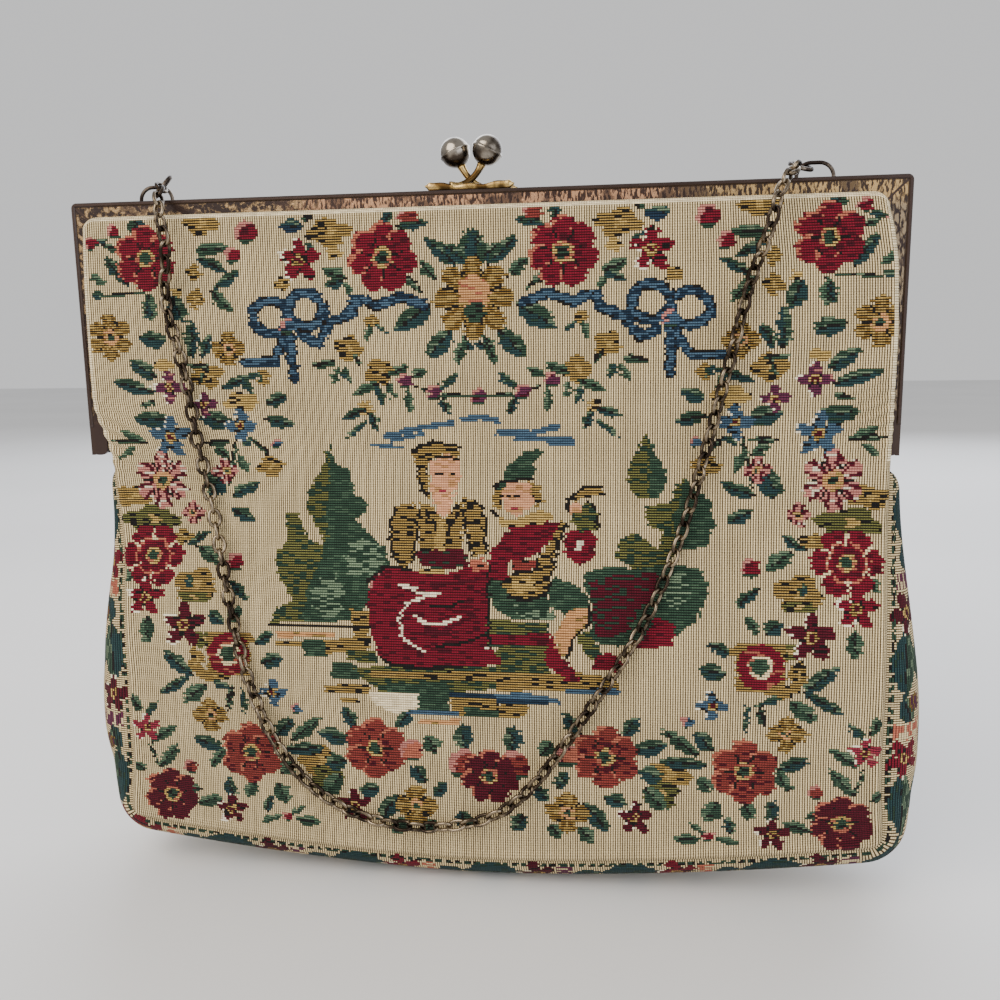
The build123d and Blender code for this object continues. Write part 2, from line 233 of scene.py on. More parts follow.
def rose2(cloth, x, z, radius, yarn, petals, turn=60):
    """Fuller rose: two rounds of petals in two reds with a cream line between."""
    far, angle = cloth.polar(x, z, turn)
    wave = np.abs(np.cos(angle * petals / 2))
    edge = radius * (0.8 + 0.2 * wave**0.6)
    cloth.weave(far < edge, yarn, "maroon", 0.15)
    cloth.weave((far < edge) & (wave < 0.17) & (far > radius * 0.5), "cream")
    cloth.weave((far < edge * 0.62) & (far > edge * 0.54), "salmon", "cream", 0.3)
    cloth.weave(far < radius * 0.4, "maroon", yarn, 0.4)
    cloth.weave(far < radius * 0.27, "butter", "salmon", 0.3)
    cloth.weave(far < radius * 0.16, "green")


def star(cloth, x, z, radius, yarn, petals, turn=90):
    """Small flower of pointed petals with dark lines between them and a butter eye."""
    far, angle = cloth.polar(x, z, turn)
    wave = np.abs(np.cos(angle * petals / 2))
    edge = radius * (0.45 + 0.55 * wave**1.3)
    inside = far < edge
    cloth.weave(inside, yarn, "pink" if yarn in ("rose", "plum") else "black", 0.08)
    cloth.weave(inside & (far > edge - radius * 0.16) & (np.sin(angle) > 0), "white", yarn, 0.5)
    cloth.weave(inside & (wave < 0.3), "black", yarn, 0.2)
    cloth.weave(far < radius * 0.27, "butter", "gold", 0.4)
    cloth.weave(far < radius * 0.13, "maroon")


def stripe(cloth, x, z, radius, yarn, petals, turn=90):
    """Flower of broad petals with dark strokes that run out from a peach middle."""
    far, angle = cloth.polar(x, z, turn)
    wave = np.abs(np.cos(angle * petals / 2))
    edge = radius * (0.62 + 0.38 * wave**0.7)
    inside = far < edge
    cloth.weave(inside, yarn, "butter" if yarn == "gold" else "white", 0.2)
    strokes = np.cos(angle * petals * 2) < -0.45
    cloth.weave(inside & strokes & (far > radius * 0.3), "ochre" if yarn == "gold" else "maroon")
    cloth.weave(inside & (wave < 0.22), "black", yarn, 0.2)
    cloth.weave(far < radius * 0.33, "peach", "butter", 0.3)
    cloth.weave(far < radius * 0.16, "green", "black", 0.3)


def ring(cloth, x, z, radius, yarn, petals, turn=0):
    """Ring with a green middle on a gold square."""
    far = cloth.polar(x, z)[0]
    square = np.maximum(np.abs(cloth.x - x), np.abs(cloth.z - z))
    cloth.weave(square < radius * 1.05, "gold")
    cloth.weave(far < radius, yarn, "salmon", 0.15)
    cloth.weave(far < radius * 0.55, "cream", "salmon", 0.3)
    cloth.weave(far < radius * 0.38, "green", "leaf", 0.3)


def bud(cloth, x, z, radius, yarn, petals=0, turn=90):
    """Closed bud: a disc with a pale stroke and a dark foot."""
    far = cloth.polar(x, z)[0]
    cloth.weave(far < radius, yarn, "maroon" if yarn != "steel" else "navy", 0.15)
    cloth.weave((far < radius) & (cloth.polar(x + radius * 0.35, z - radius * 0.3)[0] > radius), "pink")
    cloth.weave((far < radius) & (cloth.z < z - radius * 0.62), "green")


def ribbon(cloth, points, width=1.6):
    """Band of blue with a dark edge and pale strokes across it."""
    cloth.weave(cloth.near(points, width + 1.2), "navy", "black", 0.3)
    cloth.weave(cloth.near(points, width), "steel", "navy", 0.3)


LOOKS = {"rose": rose, "rose2": rose2, "star": star, "stripe": stripe, "ring": ring, "bud": bud}
LEAF_YARNS = {"g": ("green", "teal"), "l": ("leaf", "green"), "k": ("black", "green"), "t": ("teal", "navy")}

# The left half of the border, mirrored on the right; x is counted from the middle of the pattern.
# Leaves: tone, foot, length, width, direction. Patches: yarn, middle, half sizes. Flowers: look,
# yarn, middle, radius, petals.
LEAVES = [
    ("g", -89.1, 177.7, 4.4, 3.5, 78), ("k", -93.6, 173.4, 4.8, 1.5, 158), ("g", -95.7, 176.8, 4.8, 1.3, -165),
    ("g", -92.2, 164.3, 8.9, 2.9, 126), ("l", -98.4, 164.7, 4.9, 1.8, 145), ("g", -98.8, 162.0, 4.0, 1.8, 174),
    ("k", -86.2, 162.8, 12.6, 0.8, -176), ("l", -86.6, 162.5, 6.9, 3.1, -88), ("g", -80.2, 161.7, 7.0, 4.1, -72),
    ("l", -72.8, 173.0, 8.3, 2.8, 3), ("g", -72.2, 171.3, 7.6, 2.4, -28), ("g", -68.4, 163.1, 7.8, 2.4, 30),
    ("l", -69.2, 162.8, 7.3, 2.7, -49), ("g", -86.9, 160.1, 4.3, 2.1, -106), ("t", -43.0, 178.5, 5.9, 3.1, -178),
    ("k", -41.6, 179.1, 3.0, 1.7, 105), ("g", -40.7, 172.2, 2.6, 1.3, 140), ("g", -21.1, 177.3, 4.2, 2.4, 95),
    ("g", -18.4, 177.2, 6.5, 2.4, 7), ("k", -19.1, 175.9, 6.0, 1.0, 40), ("l", -32.3, 164.4, 6.4, 2.8, 154),
    ("g", -33.0, 164.5, 5.2, 2.1, -162), ("l", -33.4, 163.8, 3.4, 1.8, -63), ("k", -12.6, 160.4, 9.2, 1.4, 141),
    ("g", -4.0, 167.2, 9.3, 3.1, 137), ("g", -2.0, 166.5, 9.1, 3.6, 81), ("g", 1.4, 167.7, 6.6, 2.8, 42),
    ("l", -9.6, 164.0, 5.5, 2.4, 129), ("g", -10.7, 157.4, 10.8, 4.5, -149), ("g", -5.8, 151.3, 9.1, 4.1, -134),
    ("l", -2.1, 149.9, 7.5, 2.4, -112), ("g", 1.9, 148.5, 2.6, 2.8, -86), ("g", -90.6, 150.8, 7.3, 3.9, -9),
    ("g", -76.2, 145.1, 9.3, 3.1, 88), ("g", -74.0, 145.1, 6.4, 2.4, 60), ("g", -86.7, 139.9, 7.8, 3.6, 147),
    ("g", -87.5, 136.1, 11.3, 2.9, 165), ("k", -87.8, 133.6, 4.4, 1.5, -166), ("k", -78.6, 143.4, 6.6, 1.1, -4),
    ("g", -69.0, 137.0, 9.7, 2.1, 20), ("k", -75.5, 137.7, 6.6, 1.1, 58), ("g", -62.8, 140.4, 5.5, 1.7, -64),
    ("g", -57.0, 132.7, 5.7, 3.1, 21), ("g", -57.4, 128.8, 7.4, 2.8, -12), ("g", -67.0, 127.7, 8.0, 4.2, 169),
    ("g", -83.2, 128.5, 10.4, 3.6, 176), ("l", -91.4, 122.4, 7.1, 1.8, 155), ("k", -91.8, 122.4, 8.6, 1.4, 175),
    ("l", -94.5, 121.7, 5.3, 1.7, -142), ("k", -67.5, 122.7, 6.7, 1.8, -177), ("k", -65.9, 123.5, 12.5, 1.3, -102),
    ("l", -67.9, 118.4, 4.9, 2.1, 149), ("l", -63.8, 114.1, 5.3, 1.8, 110), ("k", -61.5, 123.4, 5.6, 1.3, -44),
    ("g", -64.7, 121.3, 3.8, 1.5, 33), ("g", -73.0, 107.7, 7.1, 4.9, 84), ("g", -66.3, 108.4, 6.2, 2.4, 31),
    ("k", -89.9, 114.8, 4.7, 1.3, 9), ("g", -57.2, 138.3, 3.4, 1.3, 124), ("l", -27.6, 153.0, 4.4, 1.5, -98),
    ("g", -26.2, 153.0, 4.2, 1.1, -35), ("k", -36.7, 143.6, 6.2, 1.8, -171), ("l", -36.1, 142.2, 4.6, 1.7, -117),
    ("g", -35.0, 142.2, 4.1, 1.7, -68), ("k", -32.3, 145.6, 3.8, 1.1, -55), ("l", -25.8, 138.0, 7.0, 2.1, -157),
    ("g", -26.5, 137.3, 5.0, 1.7, -77), ("l", -23.5, 140.0, 5.8, 2.0, 20), ("l", -23.0, 138.0, 4.2, 1.7, -83),
    ("g", -29.8, 131.1, 6.3, 2.1, -160), ("g", -29.1, 130.4, 5.1, 2.0, -65), ("g", -29.6, 128.3, 7.6, 1.3, -140),
    ("l", -17.3, 139.3, 4.0, 2.2, 25), ("l", -18.5, 136.5, 6.3, 1.8, -81), ("g", -10.5, 135.8, 6.5, 1.7, 38),
    ("g", -10.2, 134.4, 5.4, 2.0, -62), ("k", -16.7, 136.9, 4.3, 0.7, -19), ("k", -9.8, 135.0, 9.1, 0.6, -6),
    ("g", -68.5, 108.2, 5.0, 2.8, 26), ("g", -68.7, 104.7, 6.9, 2.8, -24), ("g", -74.5, 108.2, 4.0, 4.2, 65),
    ("g", -80.7, 94.8, 6.3, 2.1, 34), ("l", -77.7, 94.8, 7.2, 3.1, -35), ("g", -80.7, 87.1, 3.1, 1.8, -61),
    ("g", -68.8, 85.9, 6.6, 2.4, -42), ("l", -91.5, 76.6, 6.7, 3.4, -91), ("l", -95.8, 89.0, 3.8, 2.0, -113),
    ("g", -70.2, 74.8, 4.6, 3.1, 144), ("l", -68.7, 74.8, 5.3, 2.1, 52), ("g", -61.4, 69.4, 5.4, 2.4, 36),
    ("g", -60.1, 64.6, 5.8, 3.5, 15), ("g", -78.7, 60.6, 10.1, 3.2, 142), ("g", -79.5, 60.6, 9.7, 2.4, -152),
    ("l", -75.8, 58.5, 7.2, 3.5, -141), ("g", -73.6, 59.3, 4.6, 1.8, -18), ("k", -68.0, 58.7, 6.9, 1.7, -103),
    ("g", -65.5, 58.0, 7.4, 1.4, -85), ("l", -95.0, 50.5, 4.7, 2.1, 107), ("g", -93.6, 49.0, 5.3, 1.8, 49),
    ("l", -92.5, 42.0, 8.1, 2.4, 31), ("l", -91.2, 34.2, 8.6, 2.8, 49), ("k", -91.2, 33.8, 7.6, 0.8, 104),
    ("l", -95.5, 33.2, 3.1, 2.4, 130), ("g", -72.3, 40.4, 7.7, 3.1, 159), ("l", -75.9, 34.7, 6.4, 2.5, 60),
    ("g", -57.0, 44.7, 6.3, 3.5, 49), ("l", -53.4, 43.3, 10.5, 2.9, 38), ("g", -55.8, 40.9, 11.1, 2.8, 4),
    ("l", -56.4, 33.9, 4.5, 3.5, 45), ("l", -64.2, 31.2, 4.6, 3.1, -119), ("g", -71.1, 26.2, 5.6, 2.8, 92),
    ("l", -79.6, 28.3, 3.7, 2.1, 171), ("l", -80.8, 24.2, 6.6, 2.8, 17), ("l", -58.1, 31.5, 6.1, 3.8, -63),
    ("g", -62.0, 22.6, 4.9, 2.4, 66), ("l", -57.5, 21.6, 5.6, 1.8, -165), ("l", -54.5, 22.1, 4.4, 1.3, 41),
    ("l", -53.8, 21.0, 6.7, 2.4, -5), ("g", -34.8, 47.7, 6.1, 3.1, 122), ("g", -37.2, 43.8, 7.9, 3.8, 162),
    ("g", -23.9, 48.1, 6.6, 3.1, 54), ("g", -38.3, 38.4, 5.4, 4.2, -170), ("l", -40.1, 34.5, 6.9, 4.2, -126),
    ("g", -29.4, 31.0, 5.3, 3.5, -169), ("g", -24.4, 29.6, 9.1, 3.9, -127), ("l", -22.6, 22.7, 5.7, 3.1, -134),
    ("g", -16.9, 33.0, 5.6, 3.1, 126), ("g", -6.4, 42.6, 6.7, 4.2, 90), ("l", -13.5, 41.6, 5.2, 3.5, 122),
    ("g", -14.9, 29.2, 5.1, 2.8, 52), ("g", -8.6, 25.6, 5.3, 3.9, -61), ("l", -15.3, 23.0, 4.1, 3.1, -126),
    ("l", -101.8, 22.6, 4.1, 2.8, 131),
]
PATCHES = [
    ("gold", -70.2, 179.8, 4.6, 2.9), ("gold", -73.7, 167.3, 1.8, 2.1), ("gold", -73.8, 160.5, 2.4, 2.4), ("butter", -79.0, 162.3, 1.5, 1.3),
    ("gold", -36.6, 176.4, 5.5, 3.2), ("butter", -35.6, 171.2, 2.1, 1.7), ("gold", -49.9, 163.8, 2.0, 1.8), ("gold", -26.8, 153.7, 1.7, 1.5),
    ("gold", -57.1, 139.7, 1.8, 2.1), ("gold", -72.6, 140.5, 4.3, 3.2), ("butter", -63.5, 133.4, 4.6, 2.4), ("gold", -33.3, 147.0, 3.4, 3.1),
    ("gold", -25.6, 140.7, 3.5, 3.2), ("butter", -29.8, 131.4, 1.7, 1.8), ("butter", -84.4, 143.4, 2.8, 1.5), ("gold", -57.0, 115.9, 3.4, 2.5),
    ("olive", -91.3, 101.7, 7.4, 3.6), ("gold", -96.4, 108.1, 5.3, 2.7), ("gold", -82.2, 97.2, 2.8, 1.8), ("gold", -78.4, 84.7, 5.6, 4.1),
    ("olive", -78.4, 81.6, 4.2, 1.4), ("olive", -75.4, 70.6, 3.5, 2.1), ("gold", -73.5, 61.1, 4.2, 1.8), ("gold", -64.3, 70.8, 2.8, 1.5),
    ("gold", -77.8, 64.9, 2.1, 3.5), ("gold", -45.7, 38.2, 5.3, 4.2), ("olive", -43.9, 32.8, 4.2, 3.5),
]
FLOWERS = [
    ("rose", "crimson", -86.6, 171.3, 8.3, 6), ("bud", "crimson", -94.9, 178.6, 1.8, 0), ("bud", "crimson", -101.4, 175.6, 1.8, 0),
    ("bud", "crimson", -58.4, 177.2, 2.9, 0), ("bud", "crimson", -62.6, 171.4, 2.2, 0), ("star", "crimson", -44.8, 169.7, 5.9, 5),
    ("rose", "crimson", -22.9, 169.8, 9.1, 7), ("bud", "terracotta", -15.8, 179.9, 2.5, 0), ("stripe", "gold", -98.7, 151.0, 6.4, 6),
    ("stripe", "gold", -65.9, 147.3, 4.6, 4), ("star", "plum", -83.5, 137.4, 4.5, 4), ("star", "plum", -74.0, 132.8, 3.5, 4),
    ("star", "steel", -84.5, 123.9, 5.9, 5), ("star", "steel", -64.5, 127.0, 4.6, 4), ("bud", "steel", -54.7, 122.0, 1.4, 0),
    ("bud", "plum", -19.1, 138.2, 2.0, 0), ("bud", "plum", -11.6, 135.3, 2.0, 0), ("stripe", "pink", -87.8, 112.3, 7.8, 6),
    ("stripe", "pink", -69.7, 114.8, 3.5, 4), ("stripe", "pink", -79.2, 103.6, 3.1, 4), ("rose2", "crimson", -90.5, 92.2, 8.5, 6),
    ("bud", "crimson", -67.4, 90.6, 2.4, 0), ("star", "crimson", -92.3, 81.3, 5.3, 5), ("star", "maroon", -81.2, 74.3, 6.2, 5),
    ("ring", "crimson", -68.8, 66.9, 5.7, 0), ("star", "steel", -56.9, 56.8, 3.9, 4), ("bud", "steel", -50.8, 52.4, 1.5, 0),
    ("stripe", "gold", -75.0, 49.9, 4.8, 4), ("rose", "terracotta", -64.5, 39.7, 8.3, 6), ("star", "rose", -93.6, 45.9, 4.1, 5),
    ("bud", "terracotta", -81.9, 34.9, 2.0, 0), ("rose", "maroon", -88.2, 26.7, 7.8, 7), ("star", "maroon", -71.4, 23.0, 4.5, 5),
    ("bud", "crimson", -55.6, 21.6, 1.3, 0), ("rose", "terracotta", -30.1, 42.2, 8.3, 6), ("bud", "salmon", -20.3, 42.1, 3.1, 0),
    ("star", "maroon", -37.1, 25.8, 4.8, 5), ("stripe", "gold", -20.0, 26.5, 5.7, 4), ("bud", "terracotta", -6.5, 38.8, 4.2, 0),
]

# The bow of ribbon, and the ribbon that runs from it to the middle
BOW = [
    [(-49.1 - 4.5 + 4.9 * math.cos(a), 155.4 + 4.3 * math.sin(a)) for a in np.linspace(-0.6, 5.7, 13)],
    [(-44.2 + 4.9 * math.cos(a), 157.1 + 4.4 * math.sin(a)) for a in np.linspace(3.9, 10.2, 13)],
    [(-49.1, 151.5), (-53.8, 143.8), (-61.5, 143.8)],
    [(-48.6, 151), (-49.0, 145), (-48.6, 139.4)],
    [(-45.4, 150.4), (-41.4, 148.4), (-37.3, 153.9), (-31.7, 156), (-30.8, 159.3), (-28.6, 159.3)],
    [(-28.6, 159.3), (-25.3, 157.5), (-18.9, 159.8), (-12.8, 157.7)],
]

# The company on the lawn, from back to front: yarn and outline
FIELDS = [
    ("olive", [(-40.2, 122.1), (-38.7, 116.3), (-35.1, 115), (-34.5, 109), (-30.9, 106.2), (-31.3, 104.2), (-33.9, 101.8), (-29.8, 97.9), (-25.3, 93.3), (-25.4, 90.2), (-30.7, 87), (-29.9, 80.8), (-35.7, 76.1), (-57.3, 75.3), (-55.6, 78.9), (-50.6, 81.3), (-54.8, 86.7), (-56.5, 92.2), (-53.1, 96.2), (-53.4, 103.3), (-50.1, 103.7), (-48.9, 100.2), (-46.4, 96.2), (-42.3, 94.7), (-47.1, 104.2), (-47, 109), (-42.9, 115.4)]),
    ("green", [(-40.2, 122.1), (-38.7, 116.3), (-35.1, 115), (-34.5, 109), (-30.9, 106.2), (-31.3, 104.2), (-33.9, 101.8), (-29.8, 97.9), (-25.3, 93.3), (-25.4, 90.2), (-30.7, 87), (-29.9, 80.8), (-35.7, 76.1), (-48.1, 75.7), (-47.3, 83.7), (-43.9, 90.7), (-42.2, 97.8), (-41.6, 108.2), (-41, 116.3)]),
    ("sage", [(-35.6, 96.3), (-30.6, 97.5), (-26.6, 94), (-26.2, 90.9), (-29.9, 87.8), (-35.7, 87.7), (-36.5, 92.4)]),
    ("sage", [(-44, 86.8), (-39.8, 88.1), (-36.5, 83.8), (-37.4, 78.4), (-42.3, 76.7), (-46, 79.8), (-46, 83.7)]),
    ("olive", [(42.6, 124.5), (44.8, 118.6), (47.1, 115.5), (47.4, 112.4), (45.4, 107.7), (40, 107.7), (37.4, 112.3), (38.6, 117.8)]),
    ("green", [(42.6, 124.5), (44.8, 118.6), (47.1, 115.5), (47.4, 112.4), (45.4, 107.7), (42.3, 107.5), (43.3, 116.3)]),
    ("olive", [(41.5, 105.4), (48.5, 106.9), (49.3, 110.8), (52.1, 113.1), (54.7, 109.3), (57.7, 107.7), (58.8, 100.9), (56.7, 95.6), (49.8, 94.7), (46.6, 90.9), (38.8, 90.1), (33.5, 93.1), (35.1, 96.9), (38.7, 99.2), (42.1, 96.9), (45.1, 94.7), (46, 99.3), (42.2, 100.8)]),
    ("green", [(52.1, 113.1), (54.7, 109.3), (57.7, 107.7), (58.8, 100.9), (56.7, 95.6), (49.8, 94.7), (48.4, 100.8), (50, 106.2)]),
    ("green", [(26.3, 89.2), (32.6, 90.8), (38.8, 90.1), (48.2, 91.7), (55, 90.3), (56.8, 86.5), (54.7, 79.1), (49.3, 74.5), (33.8, 71.2), (26.8, 72.5), (27.7, 81.6), (25.5, 86.2)]),
    ("maroon", [(27.1, 86.9), (34.1, 88.5), (44.2, 89.4), (44.1, 84.9), (38.6, 78.8), (36.2, 74.2), (28.4, 73.3), (27.7, 80.1)]),
    ("crimson", [(44, 78.9), (48.5, 76.7), (47.7, 71.4), (38.4, 70.9)]),
    ("sage", [(46.6, 89.4), (51.2, 89.5), (52.6, 84.2), (49.4, 80.5), (45.6, 82.7)]),
    ("peach", [(-55.5, 72.9), (-39.5, 73.2), (-39.5, 71.8), (-55.5, 71.5)]),
    ("gold", [(-56.2, 70.4), (-46.7, 70.6), (-48.3, 69.3), (-55.6, 69.1)]),
    ("green", [(-48.3, 71.4), (-41.7, 71.3), (-41.7, 66.8), (-48.4, 66.6)]),
    ("gold", [(-42.0, 71.3), (-30.1, 72.1), (-30.2, 68.0), (-42.1, 67.7)]),
    ("olive", [(-36.7, 68.5), (-28.8, 68.7), (-28.2, 65.3), (-36.7, 66.1)]),
    ("green", [(-40.4, 65.8), (-33.9, 65.1), (-33.3, 61.1), (-40.9, 60.9)]),
    ("olive", [(-34.6, 64.4), (3.5, 65.6), (3.4, 59.7), (-12.8, 57.9), (-27.0, 57.6), (-32.6, 61.3)]),
    ("gold", [(-30.3, 63.7), (3.5, 63.9), (3.4, 61.7), (-29.7, 61.6)]),
    ("green", [(-26.1, 60.1), (-9.8, 61.2), (-9.8, 58.0), (-25.6, 57.6)]),
    ("gold", [(-42.7, 59.5), (-30.5, 59.5), (-30.6, 57.5), (-42.9, 57.4)]),
    ("gold", [(-38.2, 56.0), (-33.5, 56.1), (-33.5, 54.8), (-38.2, 54.7)]),
    ("bleached", [(-30.6, 57.8), (-17.7, 57.8), (-17.1, 54.2), (-24.4, 51.8), (-30.6, 55.3)]),
    ("green", [(-17.7, 57.8), (-9.2, 57.7), (-9.4, 53.0), (-17.9, 53.5)]),
    ("gold", [(-9.2, 57.7), (3.2, 57.3), (3.1, 52.2), (-8.7, 52.3)]),
    ("green", [(-5.8, 54.5), (3.2, 54.0), (3.1, 51.9), (-5.9, 52.0)]),
    ("peach", [(-18.0, 50.9), (-6.6, 51.2), (-7.5, 49.3), (-18.1, 49.4)]),
    ("olive", [(2.9, 72.0), (16.8, 72.3), (16.6, 64.2), (2.8, 63.2)]),
    ("gold", [(2.8, 63.9), (24.2, 64.4), (33.1, 63.2), (34.3, 60.5), (2.7, 59.0)]),
    ("gold", [(3.2, 55.5), (10.9, 55.7), (10.1, 52.4), (3.1, 51.9)]),
    ("crimson", [(-30.3, 87), (-26.6, 90.1), (-20.1, 89.4), (-10.3, 88), (-3.8, 90.4), (1.4, 90.4), (1.3, 81.3), (1.5, 70.5), (4.6, 66.7), (3.8, 65.9), (-5.8, 65.3), (-15.5, 64.7), (-23.6, 65.3), (-27.6, 67.6), (-30, 73.8), (-30.8, 80.8)]),
    ("gold", [(-23.1, 105.1), (-18.2, 106.7), (-16.6, 101.9), (-18.4, 96.4), (-19.2, 91), (-20.9, 88.7), (-23.3, 91), (-24.9, 96.4), (-25.3, 100.3)]),
    ("gold", [(-16.5, 106.7), (-13.3, 105.1), (-10.1, 102), (-6.8, 106.7), (-5.2, 105.2), (-5.4, 96.6), (-6.2, 94.2), (-16.8, 94.1), (-17.1, 100.4)]),
    ("gold", [(-5.9, 108.3), (-1.9, 106.7), (0.4, 102.8), (0.4, 93.5), (-3, 92.7), (-4.1, 98.1), (-5.2, 104.4)]),
    ("maroon", [(-18.4, 94.1), (-5.4, 94.6), (-3.8, 90.4), (-9.5, 89.4), (-16.8, 90.1)]),
    ("butter", [(-12.6, 102), (-10.1, 101.6), (-10.3, 94.2), (-12.7, 94.2)]),
    ("butter", [(-16.8, 89.5), (-10.3, 89.2), (-10.3, 88), (-17.2, 88.3)]),
    ("salmon", [(-4.2, 91.5), (0.2, 92.4), (1.8, 89.7), (-2.3, 88.9)]),
    ("flesh", [(-13.7, 117.1), (-9.5, 119.3), (-5.6, 117.9), (-5.8, 113.1), (-7.5, 109.1), (-8.9, 104.3), (-10.1, 102.4), (-12.5, 104.3), (-13.6, 109.9)]),
    ("gold", [(-18.4, 120.3), (-12.6, 122.3), (-6.2, 121.1), (-5.8, 117.7), (-9.5, 119.6), (-13.7, 117.9), (-14.6, 114.7), (-13.6, 107.3), (-15.8, 108.3), (-17.2, 112.3), (-17.4, 116.3)]),
    ("gold", [(-35.7, 79.2), (-30.4, 78.9), (-30, 71.9), (-34.5, 71.8), (-34.5, 76.1)]),
    ("olive", [(0.8, 77.4), (17.1, 76.6), (16.6, 73.9), (16.9, 69.3), (0.7, 70.5)]),
    ("crimson", [(1.1, 73.6), (7.9, 73.7), (17.4, 74.3), (16.9, 70.7), (1.5, 70.9)]),
    ("green", [(1.3, 86.6), (5.3, 86.7), (6.5, 83.2), (16, 83.8), (17.1, 81.5), (18.6, 77.3), (12.7, 77.2), (7.2, 77.5), (2.4, 80.5)]),
    ("sage", [(7.6, 81), (17.5, 80.6), (18.2, 77.3), (10.3, 77.2)]),
    ("green", [(18.4, 88), (23.9, 86.1), (27.4, 82.4), (26.9, 78.6), (21.4, 78.1), (17.1, 81.5), (16.8, 86)]),
    ("crimson", [(1.8, 94.3), (6.7, 99.8), (13.2, 102.1), (20.3, 101.5), (21, 99.1), (17, 96.7), (13.8, 93.6), (10.6, 92.1), (6, 91.6), (6.5, 87.3), (1.6, 87)]),
    ("terracotta", [(7.4, 91.9), (13.4, 92.3), (13.7, 89.8), (7.5, 89.6)]),
    ("crimson", [(21.4, 99.1), (27.3, 99.9), (29.6, 96.8), (28.8, 93), (24.8, 90.8), (21.3, 92.9), (20.8, 96.8)]),
    ("white", [(24.1, 97), (26.1, 97.3), (25.7, 94.4), (23.9, 94.3)]),
    ("olive", [(23.5, 105.3), (27.5, 106.9), (29.6, 103.8), (29.3, 99.8), (24.6, 99), (22.7, 102.2)]),
    ("flesh", [(21.6, 105.7), (24.7, 106.8), (25.7, 104.5), (22.7, 103.6)]),
    ("gold", [(22.6, 107.5), (26.8, 110.6), (31.1, 110.6), (31.4, 108.7), (26.7, 107.9), (23.5, 106.7)]),
    ("gold", [(20.1, 102.2), (21.7, 100.5), (18.7, 95.2), (17.5, 89.1), (16, 83.8), (10.8, 82.3), (6.5, 83.5), (5.1, 86.3), (8, 88.6), (12.9, 89), (15.4, 93.7), (18.7, 99.1)]),
    ("butter", [(7.5, 86.8), (12.5, 88.1), (13.5, 84.5), (8.5, 83.8)]),
    ("peach", [(23, 80.7), (27.1, 80.7), (26.6, 77.1), (22.9, 73.2), (21.2, 68.2), (18.9, 69.2), (18, 73.9), (20.6, 77.8)]),
    ("olive", [(23.7, 74), (26.8, 74.8), (29.8, 69.6), (28.2, 67.2), (25.2, 69.5)]),
    ("crimson", [(17, 73.9), (18.2, 72.4), (18.9, 69.3), (22.7, 65.6), (24.6, 62.3), (21.1, 62.3), (15.7, 66.2), (15.7, 69.3)]),
    ("crimson", [(28.3, 68.8), (32.2, 70), (35.4, 66.6), (33.6, 64.9), (27.4, 65.3)]),
    ("flesh", [(5, 111.5), (12.2, 111.9), (13.7, 108.8), (12.4, 105.2), (8.4, 102.7), (5.6, 104.8), (4.7, 108.3)]),
    ("gold", [(3, 110.3), (5.3, 111.9), (4.9, 105.2), (3.2, 104.3), (2.5, 107.5)]),
    ("gold", [(12, 112.7), (14.9, 110.7), (15.8, 106.8), (13.6, 105.1), (12.9, 109.2)]),
    ("butter", [(3.8, 102.7), (7.6, 101.9), (14.8, 104.8), (18.9, 103.3), (15.5, 101.2), (9.1, 100.4), (4.3, 100.4)]),
    ("green", [(3, 109.9), (5.5, 113.1), (7.2, 116.3), (11.3, 119.8), (15.2, 120.4), (16.1, 119), (13.1, 116.9), (14.1, 113.5), (11, 112.6), (7.8, 112.3), (4.6, 109.8)]),
]

